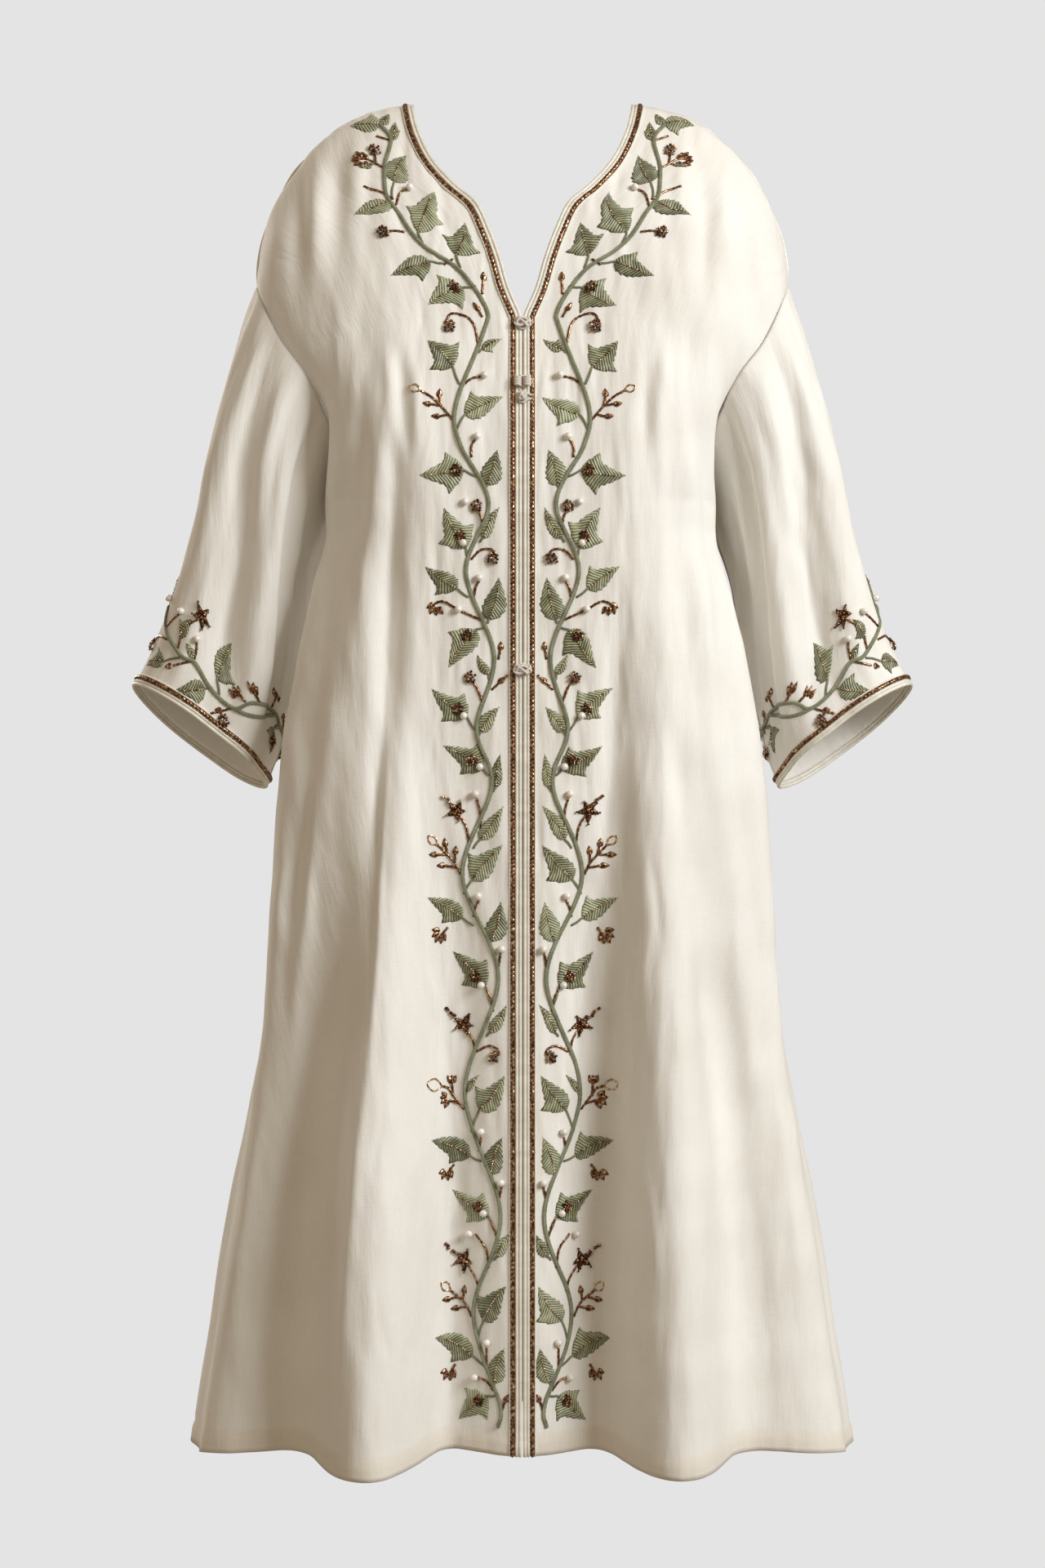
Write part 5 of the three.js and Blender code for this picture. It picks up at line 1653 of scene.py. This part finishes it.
# Turning points of the vine and its branches, across and down in millimetres as the camera sees them
FRONT_VINE = (
    (131, 18),
    (121, 33),
    (127, 62),
    (119, 93),
    (94, 127),
    (57, 153),
    (36, 182),
    (36, 210),
    (61, 276),
    (57, 313),
    (31, 367),
    (52, 430),
    (26, 507),
    (42, 574),
    (28, 627),
    (55, 710),
    (22, 804),
    (53, 910),
    (20, 1022),
    (45, 1112),
    (21, 1194),
    (22, 1217),
)
CUFF_VINE = (
    (328, 460),
    (328, 480),
    (315, 506),
    (302, 513),
    (288, 536),
    (266, 555),
    (247, 550),
    (228, 560),
    (214, 584),
)
CUFF_BRANCH = ((268, 554), (256, 560), (243, 563), (227, 561))

# Leaves
# Leaves of sage and olive silk are padded and filled with slanting satin stitches from a middle line to
# their toothed edges. Many have one or two side lobes.
LEAF_GRID = ((34, 9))
LEAF_UNDERSIDE = np.array([0.5, 0, -0.5])
LEAF_SUNK = 0.0004
LEAF_HEIGHT = 0.0017
LEAF_CREASE = 0.0006
LEAF_CREASE_WIDE = 0.2
LEAF_SETTLED = 0.0001
LEAF_WIDEST = 0.29
LEAF_FULLNESS = 0.56
LEAF_TEETH = 7
TOOTH_DEPTH = 0.2
LOBE_PLACE = 0.27
LOBE_BEFORE = 0.12
LOBE_AFTER = 0.09
LOBE_REACH = 0.25
LOBE_SWEEP = 0.095
LOBED_BLADE = 0.8
# Where each leaf starts and ends, its width, the sides that have a lobe (1 left, 2 right, 3 both) and
# where its stalk leaves the vine, all in millimetres as the camera sees them
LEAF_COLUMNS = "across down tip_across tip_down wide lobes from_across from_down"
FRONT_LEAVES = table(
    LEAF_COLUMNS,
    (131, 18, 160, 20, 20, 1, 129, 19),
    (130, 18, 122, 8, 10, 0, 129, 19),
    (119, 30, 117, 15, 9, 0, 121, 33),
    (118, 32, 112, 23, 4, 0, 121, 35),
    (139, 55, 152, 58, 6, 0, 137, 54),
    (118, 71, 106, 45, 19, 0, 120, 86),
    (124, 89, 157, 102, 18, 0, 119, 90),
    (96, 117, 80, 79, 24, 3, 92, 127),
    (61, 138, 53, 107, 25, 3, 57, 150),
    (85, 144, 123, 158, 22, 2, 72, 146),
    (55, 168, 88, 185, 25, 3, 43, 167),
    (64, 241, 89, 216, 27, 3, 58, 257),
    (37, 225, 18, 215, 12, 1, 40, 228),
    (53, 285, 16, 268, 25, 2, 60, 298),
    (54, 336, 97, 341, 26, 3, 42, 342),
    (32, 350, 23, 316, 19, 0, 34, 352),
    (36, 399, 20, 369, 12, 0, 39, 402),
    (52, 408, 73, 369, 27, 3, 50, 417),
    (60, 445, 91, 424, 23, 2, 50, 453),
    (31, 474, 22, 433, 21, 0, 32, 477),
    (43, 483, 69, 520, 27, 1, 33, 480),
    (31, 524, 42, 505, 9, 0, 30, 530),
    (51, 563, 85, 536, 25, 3, 43, 576),
    (38, 577, 20, 553, 14, 0, 40, 580),
    (36, 611, 75, 589, 24, 3, 31, 617),
    (24, 628, 20, 596, 11, 0, 27, 632),
    (39, 676, 17, 644, 15, 0, 45, 684),
    (46, 713, 17, 680, 27, 2, 54, 726),
    (55, 748, 89, 729, 22, 2, 45, 755),
    (29, 770, 20, 732, 20, 0, 30, 773),
    (34, 811, 66, 778, 26, 3, 27, 832),
    (30, 854, 14, 827, 11, 0, 33, 857),
    (51, 908, 39, 892, 7, 0, 53, 920),
    (40, 925, 16, 892, 27, 2, 47, 945),
    (48, 967, 85, 953, 24, 2, 38, 972),
    (29, 984, 18, 949, 19, 0, 29, 986),
    (31, 1023, 66, 997, 26, 3, 24, 1040),
    (23, 1060, 11, 1038, 12, 0, 26, 1063),
    (36, 1119, 14, 1086, 27, 2, 41, 1135),
    (46, 1151, 82, 1135, 26, 2, 35, 1161),
    (25, 1176, 16, 1143, 17, 0, 26, 1179),
    (33, 1188, 60, 1211, 26, 3, 25, 1188),
)
CUFF_LEAVES = table(
    LEAF_COLUMNS,
    (323, 462, 315, 430, 14, 0, 327, 470),
    (330, 512, 347, 517, 18, 2, 316, 509),
    (315, 489, 303, 473, 13, 1, 318, 503),
    (303, 509, 310, 494, 9, 0, 304, 512),
    (281, 528, 267, 494, 24, 2, 279, 543),
    (292, 537, 323, 539, 21, 1, 286, 538),
    (230, 573, 233, 598, 19, 3, 219, 573),
)


def leaf(field, base, tip, wide, lobes, bow, shade, grid=LEAF_GRID):
    """A padded leaf. Its half width is a power of the share s along it times a power of 1 - s, times a
    saw for its teeth, plus a bell for each lobe that leans to the tip. Its height is that of a half
    ellipse over its width with a crease down the middle, and its underside lies just in the cloth."""
    long = np.linalg.norm(tip - base)
    way = (tip - base) / long
    side = np.array([-way[1], way[0]])
    s = np.linspace(0.01, 0.99, grid[0])[:, None]
    t = np.concatenate([np.linspace(-1, 1, grid[1]), LEAF_UNDERSIDE])[None]
    fall = LEAF_FULLNESS * (1 - LEAF_WIDEST) / LEAF_WIDEST
    egg = (s / LEAF_WIDEST) ** LEAF_FULLNESS * ((1 - s) / (1 - LEAF_WIDEST)) ** fall
    saw = 1 + TOOTH_DEPTH * ((s * LEAF_TEETH) % 1 - 0.5)
    bell = np.exp(-(((s - LOBE_PLACE) / np.where(s < LOBE_PLACE, LOBE_BEFORE, LOBE_AFTER)) ** 2))
    lobe = bell * np.where(t < 0, lobes in (1, 3), lobes in (2, 3))
    half = wide * (egg * saw * (LOBED_BLADE if lobes else 1) / 2 + LOBE_REACH * lobe)
    sweep = LOBE_SWEEP * long * lobe * t**2
    aside = bow * long * 4 * s * (1 - s) + t * half
    place = base + way * (s * long + sweep)[..., None] + side * aside[..., None]
    height = LEAF_HEIGHT * np.sqrt(1 - t**2) * np.minimum(1, 2.5 * egg)
    height = height - LEAF_CREASE * np.exp(-((t / LEAF_CREASE_WIDE) ** 2))
    height[:, grid[1] :] = -LEAF_SUNK
    rings, _ = lay(field, place, height - LEAF_SETTLED)
    flat = np.stack(np.broadcast_arrays(s * long, t * half), axis=-1)
    ends = (lay(field, base)[0], lay(field, tip)[0])
    return body_of_rings(rings, *ends, flat, shade)


leaf_silk = silk_material(
    "sage_leaf_silk",
    0.0028,
    0.8,
    ((0.36, (0.065, 0.060, 0.024)), (0.70, (0.205, 0.212, 0.108)), (1.0, (0.50, 0.53, 0.35))),
)

# Bronze work
# Stalks, berries, flowers and buds are bronze metal thread and small bronze glass beads. A row of the
# same beads marks the middle of each leaf.
STALK_RADIUS = 0.00112
BEAD_RADIUS = 0.0014
VEIN_BEAD_RADIUS = 0.00095
VEIN_BEAD_STEP = 0.0024
CLUSTER_BEADS = 17
CLUSTER_RADIUS = 0.0054
METAL_GRID = ((11, 5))
PETALS = 5
PETAL_LONG = 0.0115
PETAL_WIDE = 0.0062
DROP_LONG = 0.0088
DROP_WIDE = 0.0062
BEAD_LATITUDES = (-30, 30)
BEAD_SIDES = 7
BEAD_SQUASH = 0.85
BALL_ASIDE = np.array([0.3, 1, 0.2])
# Stalks of metal thread, as places that the line runs through
FRONT_STALKS = (
    ((122, 33), (128, 31), (134, 29)),
    ((128, 58), (141, 51), (150, 50)),
    ((135, 53), (136, 43)),
    ((119, 87), (131, 80), (146, 75)),
    ((117, 94), (113, 82), (105, 77)),
    ((109, 117), (118, 116), (126, 117)),
    ((37, 174), (36, 160)),
    ((72, 147), (64, 142)),
    ((37, 195), (44, 183)),
    ((41, 219), (45, 202), (57, 193), (67, 193), (72, 201)),
    ((56, 259), (47, 252), (38, 250)),
    ((63, 291), (75, 277), (85, 268), (94, 263)),
    ((75, 277), (77, 266)),
    ((75, 277), (86, 275)),
    ((68, 285), (78, 287)),
    ((47, 324), (47, 314), (43, 307)),
    ((36, 391), (38, 379), (42, 372)),
    ((47, 418), (39, 410), (29, 409), (23, 415)),
    ((45, 454), (43, 444), (40, 438)),
    ((36, 475), (58, 465), (73, 457), (83, 460)),
    ((22, 510), (20, 498)),
    ((28, 538), (14, 525)),
    ((37, 549), (42, 536), (48, 529)),
    ((38, 665), (39, 650), (42, 638)),
    ((49, 681), (52, 664), (60, 651)),
    ((57, 708), (62, 698), (69, 690), (78, 681)),
    ((69, 690), (71, 680)),
    ((62, 698), (62, 688)),
    ((69, 690), (79, 690)),
    ((60, 702), (72, 700)),
    ((45, 747), (43, 738), (40, 732)),
    ((69, 757), (74, 763), (77, 767)),
    ((22, 793), (20, 780)),
    ((27, 834), (29, 823), (33, 814)),
    ((44, 870), (46, 860), (53, 848)),
    ((42, 871), (31, 866), (23, 869), (21, 874)),
    ((54, 924), (63, 912), (68, 905), (74, 903)),
    ((64, 912), (65, 898)),
    ((58, 919), (72, 915)),
    ((40, 963), (38, 950)),
    ((63, 975), (67, 980), (70, 985)),
    ((22, 1009), (19, 995)),
    ((24, 1041), (27, 1031), (31, 1024)),
    ((31, 1070), (34, 1052), (43, 1039)),
    ((40, 1091), (43, 1080), (50, 1068)),
    ((47, 1115), (52, 1104), (60, 1096), (66, 1091)),
    ((55, 1100), (54, 1094)),
    ((60, 1097), (67, 1099)),
    ((52, 1106), (59, 1107)),
    ((33, 1160), (33, 1143)),
    ((62, 1159), (65, 1164), (68, 1169)),
    ((27, 1183), (34, 1174), (41, 1171)),
    ((19, 1203), (17, 1196), (15, 1191)),
)
CUFF_STALKS = (
    ((327, 480), (320, 472), (314, 467)),
    ((318, 503), (312, 484), (297, 472)),
    ((302, 510), (300, 500), (300, 494)),
    ((327, 492), (334, 489), (339, 494)),
    ((304, 512), (321, 516)),
    ((267, 555), (278, 558), (287, 560)),
    ((255, 549), (261, 542)),
    ((242, 550), (247, 541)),
    ((231, 554), (227, 545)),
    ((214, 582), (213, 570)),
    ((219, 574), (228, 571)),
)
# Round groups of beads
FRONT_CLUSTERS = (
    (136, 42),
    (128, 117),
    (63, 168),
    (67, 204),
    (61, 336),
    (42, 369),
    (57, 397),
    (27, 417),
    (51, 488),
    (48, 527),
    (59, 556),
    (46, 603),
    (43, 802),
    (26, 876),
    (40, 1014),
    (40, 1192),
)
CUFF_CLUSTERS = ((340, 497), (275, 566), (218, 600))
# Five-petalled flowers, each with a trail of beads from its middle to a place beyond it
FRONT_FLOWERS = (((61, 650), (73, 636)), ((54, 846), (70, 831)), ((54, 1063), (71, 1049)))
CUFF_FLOWERS = (((295, 471), (290, 466)),)
# Sprays of drops: each drop's start and tip
FRONT_DROPS = (
    ((150, 50), (160, 46)),
    ((148, 48), (155, 42)),
    ((143, 50), (149, 42)),
    ((150, 52), (160, 51)),
    ((147, 54), (156, 56)),
    ((142, 53), (148, 57)),
    ((36, 162), (36, 153)),
    ((40, 190), (45, 182)),
    ((77, 269), (76, 261)),
    ((84, 276), (92, 274)),
    ((76, 287), (84, 286)),
    ((78, 462), (72, 470)),
    ((80, 462), (79, 472)),
    ((83, 461), (85, 469)),
    ((81, 459), (90, 464)),
    ((20, 502), (20, 494)),
    ((22, 532), (13, 524)),
    ((71, 683), (72, 674)),
    ((62, 690), (61, 680)),
    ((78, 690), (86, 690)),
    ((71, 700), (79, 700)),
    ((74, 762), (70, 771)),
    ((75, 764), (75, 774)),
    ((77, 764), (81, 772)),
    ((77, 762), (86, 767)),
    ((76, 760), (84, 759)),
    ((65, 900), (61, 893)),
    ((65, 900), (69, 894)),
    ((65, 901), (65, 889)),
    ((70, 914), (80, 913)),
    ((70, 915), (78, 921)),
    ((69, 916), (72, 924)),
    ((70, 913), (76, 907)),
    ((67, 980), (64, 989)),
    ((69, 982), (68, 992)),
    ((71, 982), (75, 990)),
    ((71, 981), (80, 985)),
    ((54, 1094), (53, 1086)),
    ((66, 1099), (74, 1100)),
    ((58, 1107), (66, 1108)),
    ((65, 1164), (61, 1173)),
    ((67, 1166), (66, 1176)),
    ((69, 1166), (73, 1174)),
    ((69, 1165), (78, 1168)),
    ((16, 1194), (13, 1187)),
)
CUFF_DROPS = (
    ((262, 545), (268, 531)),
    ((260, 545), (262, 534)),
    ((264, 546), (270, 538)),
    ((247, 541), (248, 528)),
    ((246, 542), (243, 532)),
    ((248, 542), (252, 533)),
    ((228, 545), (222, 532)),
    ((228, 546), (229, 534)),
    ((226, 547), (219, 541)),
    ((213, 572), (212, 560)),
    ((276, 558), (285, 556)),
    ((323, 516), (328, 517)),
)
# Open loops of thread at the ends of some sprays
FRONT_LOOPS = (
    ((94, 263), (104, 259)),
    ((78, 681), (87, 673)),
    ((74, 903), (88, 901)),
    ((66, 1091), (75, 1084)),
)


def balls(centres, ups, radius, latitudes, sides, squash, seed):
    """Balls with few faces: rings at given latitudes and a tip above and below, squashed towards the
    cloth. Each ball has a shade of its own, lighter for the smallest."""
    chance = np.random.default_rng(seed)
    latitude = np.radians(latitudes)[:, None]
    turn = np.linspace(0, 2 * math.pi, sides, endpoint=False)[None]
    ring = np.stack(
        np.broadcast_arrays(
            np.cos(latitude) * np.cos(turn), np.cos(latitude) * np.sin(turn), squash * np.sin(latitude)
        ),
        axis=-1,
    )
    top = np.array([0, 0, squash])
    body, quads, tips, _, _ = body_of_rings(ring, -top, top, ring[..., :2], 0)
    side = unit(np.cross(ups, BALL_ASIDE))
    axes = np.stack([side, np.cross(ups, side), ups], axis=1)
    radius = np.broadcast_to(radius, len(centres))[:, None, None]
    points = centres[:, None] + radius * np.einsum("mi,nij->nmj", body, axes)
    start = (np.arange(len(centres)) * len(body))[:, None, None]
    flat = body[None, :, 1:] * 0.002 + chance.uniform(0, 1, (len(centres), 1, 2))
    shade = chance.uniform(0, 0.8, len(centres)) + 0.4 * (radius.ravel() <= VEIN_BEAD_RADIUS)
    shade = np.repeat(shade, len(body))
    return (
        points.reshape(-1, 3),
        (quads[None] + start).reshape(-1, 4),
        (tips[None] + start).reshape(-1, 3),
        flat.reshape(-1, 2),
        shade,
    )


# Pearls
# Round ivory pearls are sewn on singly, most at the end of a bronze stalk and some beside a leaf's beads.
PEARL_RADIUS = 0.0034
PEARL_LATITUDES = (-60, -30, 0, 30, 60)
PEARL_SIDES = 14
FRONT_PEARLS = (
    (103, 77),
    (35, 249),
    (42, 305),
    (53, 365),
    (55, 403),
    (40, 435),
    (59, 464),
    (54, 562),
    (39, 609),
    (43, 634),
    (40, 728),
    (19, 777),
    (37, 810),
    (37, 945),
    (19, 992),
    (35, 1020),
    (48, 1039),
    (32, 1139),
    (43, 1171),
)
CUFF_PEARLS = ((325, 454), (313, 466), (300, 491))

pearl, pearl_tree, pearl_shader = new_material("ivory_pearl")
pearl_noise = noise(pearl_tree, place_on_piece(pearl_tree), 400.0, 2.0)
pearl_colour = ramp(pearl_tree, pearl_noise, (0.35, (0.80, 0.74, 0.66)), (0.65, (0.92, 0.89, 0.84)))
feed(pearl_tree, pearl_shader.inputs["Base Color"], pearl_colour)
pearl_shader.inputs["Roughness"].default_value = 0.25
pearl_shader.inputs["Coat Weight"].default_value = 0.8
pearl_shader.inputs["Coat Roughness"].default_value = 0.08

# Embroidered borders
# All the needlework is laid on the finished cloth, so it follows the folds and puckers of each front and
# runs round each cuff. The back of a cuff repeats the front.
BORDER = {
    "vines": (FRONT_VINE,),
    "leaves": FRONT_LEAVES,
    "stalks": FRONT_STALKS,
    "clusters": FRONT_CLUSTERS,
    "flowers": FRONT_FLOWERS,
    "drops": FRONT_DROPS,
    "loops": FRONT_LOOPS,
    "pearls": FRONT_PEARLS,
}
CUFF = {
    "vines": (CUFF_VINE, CUFF_BRANCH),
    "leaves": CUFF_LEAVES,
    "stalks": CUFF_STALKS,
    "clusters": CUFF_CLUSTERS,
    "flowers": CUFF_FLOWERS,
    "drops": CUFF_DROPS,
    "loops": (),
    "pearls": CUFF_PEARLS,
}


def on_cuff(field, seen, behind=False):
    """Places on the front of a cuff, as lengths from the seam under the arm that run on past the whole
    way round, or the places that stand opposite them on its back."""
    place = find(field, seen)
    around = np.interp(place[:, 1], field["down"], field["length"])
    across = (place[:, 0] - around / 4) % around + around / 4
    return np.stack([around - across if behind else across, place[:, 1]], axis=-1)


def metal_shape(field, base, tip, wide, shade):
    """A small petal or drop filled with metal thread."""
    return leaf(field, base, tip, wide, 0, 0, shade, METAL_GRID)


def embroider(name, field, design, place_of, seed):
    """Lays a whole design on a piece of cloth and makes one object for each material."""
    chance = np.random.default_rng(seed)
    vines, leaves, bronze, bead_places, bead_sizes = [], [], [], [], []
    for line in design["vines"]:
        vines.append(
            cord_on(
                field, place_of(line), VINE_RADIUS, sides=9, step=VINE_STEP, strands=2, relief=0.1,
                pitch=VINE_PITCH, flat=VINE_FLATNESS, shade=0.5,
            )
        )
    rows = design["leaves"]
    bases, tips, starts = (
        place_of(np.stack([rows[a], rows[b]], axis=-1))
        for a, b in (("across", "down"), ("tip_across", "tip_down"), ("from_across", "from_down"))
    )
    for row, base, tip, start in zip(rows, bases, tips, starts):
        bow = chance.uniform(0.02, 0.07) * chance.choice((-1, 1))
        lobes = int(row["lobes"])
        if field["mirrored"]:
            lobes = {1: 2, 2: 1}.get(lobes, lobes)
        leaves.append(leaf(field, base, tip, row["wide"] / 1000, lobes, bow, chance.uniform(0, 1)))
        long = np.linalg.norm(tip - base)
        way = (tip - base) / long
        side = np.array([-way[1], way[0]])
        vines.append(
            cord_on(
                field, [start, mix(start, base, 0.5) + side * 0.0006, base, base + way * long * 0.12],
                LEAF_STALK_RADIUS, sides=6, step=0.003, flat=0.7, shade=0.4,
            )
        )
        s = np.arange(0.07, 0.74, VEIN_BEAD_STEP / long)
        bead_places.append(base + way * (s * long)[:, None] + side * (bow * long * 4 * s * (1 - s))[:, None])
        bead_sizes.append(np.stack([0 * s + VEIN_BEAD_RADIUS, 0 * s + LEAF_HEIGHT - 0.0003], axis=-1))
    for line in design["stalks"]:
        bronze.append(
            cord_on(
                field, place_of(line), STALK_RADIUS, sides=6, step=0.0014, strands=2, relief=0.22,
                pitch=0.0042, flat=0.8, shade=0.5,
            )
        )
    for middle in place_of(design["clusters"]):
        turn = np.arange(CLUSTER_BEADS) * 2.4
        reach = CLUSTER_RADIUS * np.sqrt((np.arange(CLUSTER_BEADS) + 0.4) / CLUSTER_BEADS)
        around = np.stack([reach * np.cos(turn), reach * np.sin(turn)], axis=-1)
        bead_places.append(middle + around + chance.normal(0, 0.0003, around.shape))
        lift = 0.0022 * (1 - (reach / CLUSTER_RADIUS) ** 2) + 0.0012
        bead_sizes.append(np.stack([0 * reach + BEAD_RADIUS, lift], axis=-1))
    for flower in design["flowers"]:
        middle, end = place_of(flower)
        first = math.atan2(*(end - middle)[::-1])
        for petal in range(PETALS):
            turn = first + 2 * math.pi * petal / PETALS + chance.uniform(-0.2, 0.2)
            way = np.array([math.cos(turn), math.sin(turn)]) * PETAL_LONG * chance.uniform(0.75, 1.05)
            bronze.append(metal_shape(field, middle + way * 0.08, middle + way, PETAL_WIDE, 0.1))
            s = np.array([0.3, 0.5, 0.7, 0.95])[:, None]
            bead_places.append(middle + way * s + chance.normal(0, 0.0005, (4, 2)))
            bead_sizes.append(np.tile([BEAD_RADIUS * 0.85, LEAF_HEIGHT], (4, 1)))
        trail = np.linspace(0.35, 1, 6)[:, None]
        bead_places.append(mix(middle, end, trail) + chance.normal(0, 0.0006, (6, 2)))
        bead_sizes.append(np.tile([BEAD_RADIUS * 1.25, 0.0012], (6, 1)))
        bead_places.append(middle + chance.normal(0, 0.001, (4, 2)))
        bead_sizes.append(np.tile([BEAD_RADIUS, 0.0026], (4, 1)))
    for drop in design["drops"]:
        base, tip = place_of(drop)
        way = (tip - base) / np.linalg.norm(tip - base)
        bronze.append(metal_shape(field, base, base + way * DROP_LONG, DROP_WIDE, 0.45))
        bead_places.append((base + way * DROP_LONG * 0.45)[None])
        bead_sizes.append(np.array([[BEAD_RADIUS * 0.9, LEAF_HEIGHT * 0.8]]))
    for loop in design["loops"]:
        base, tip = place_of(loop)
        way = tip - base
        side = np.array([-way[1], way[0]])
        ring = [base, base + way * 0.5 + side * 0.3, tip, base + way * 0.5 - side * 0.3, base]
        bronze.append(cord_on(field, ring, STALK_RADIUS * 0.75, sides=6, step=0.0014, flat=0.8, shade=0.9))
    bead_sizes = np.concatenate(bead_sizes)
    centres, ups = lay(field, np.concatenate(bead_places), bead_sizes[:, 1])
    bronze.append(balls(centres, ups, bead_sizes[:, 0], BEAD_LATITUDES, BEAD_SIDES, BEAD_SQUASH, seed))
    centres, ups = lay(field, place_of(design["pearls"]), PEARL_RADIUS * 0.8)
    pearls = balls(centres, ups, PEARL_RADIUS, PEARL_LATITUDES, PEARL_SIDES, 1.0, seed)
    for part, material, pieces in (
        ("vine", vine_silk, vines),
        ("leaves", leaf_silk, leaves),
        ("bronze_work", metal, bronze),
        ("pearls", pearl, [pearls]),
    ):
        seat(make_object(f"{part}_{name}", pieces, material), "cloth")


for side, seed in (("right", 83), ("left", 97)):
    points, normals, flat = fronts[side]
    field = cloth_field(points, normals, flat, flat[:, -1, 0], side)
    embroider(f"front_{side}", field, BORDER, lambda seen: find(field, seen), seed)
    points, normals, flat = sleeves[side]
    around = lengths_over(np.concatenate([points, points[:, :1]], axis=1))[:, -1, 0]
    field = cloth_field(points, normals, flat, around, side, closed=True)
    embroider(f"cuff_{side}", field, CUFF, lambda seen: on_cuff(field, seen), seed + 1)
    field["mirrored"] = side == "right"
    embroider(f"back_of_cuff_{side}", field, CUFF, lambda seen: on_cuff(field, seen, True), seed + 2)
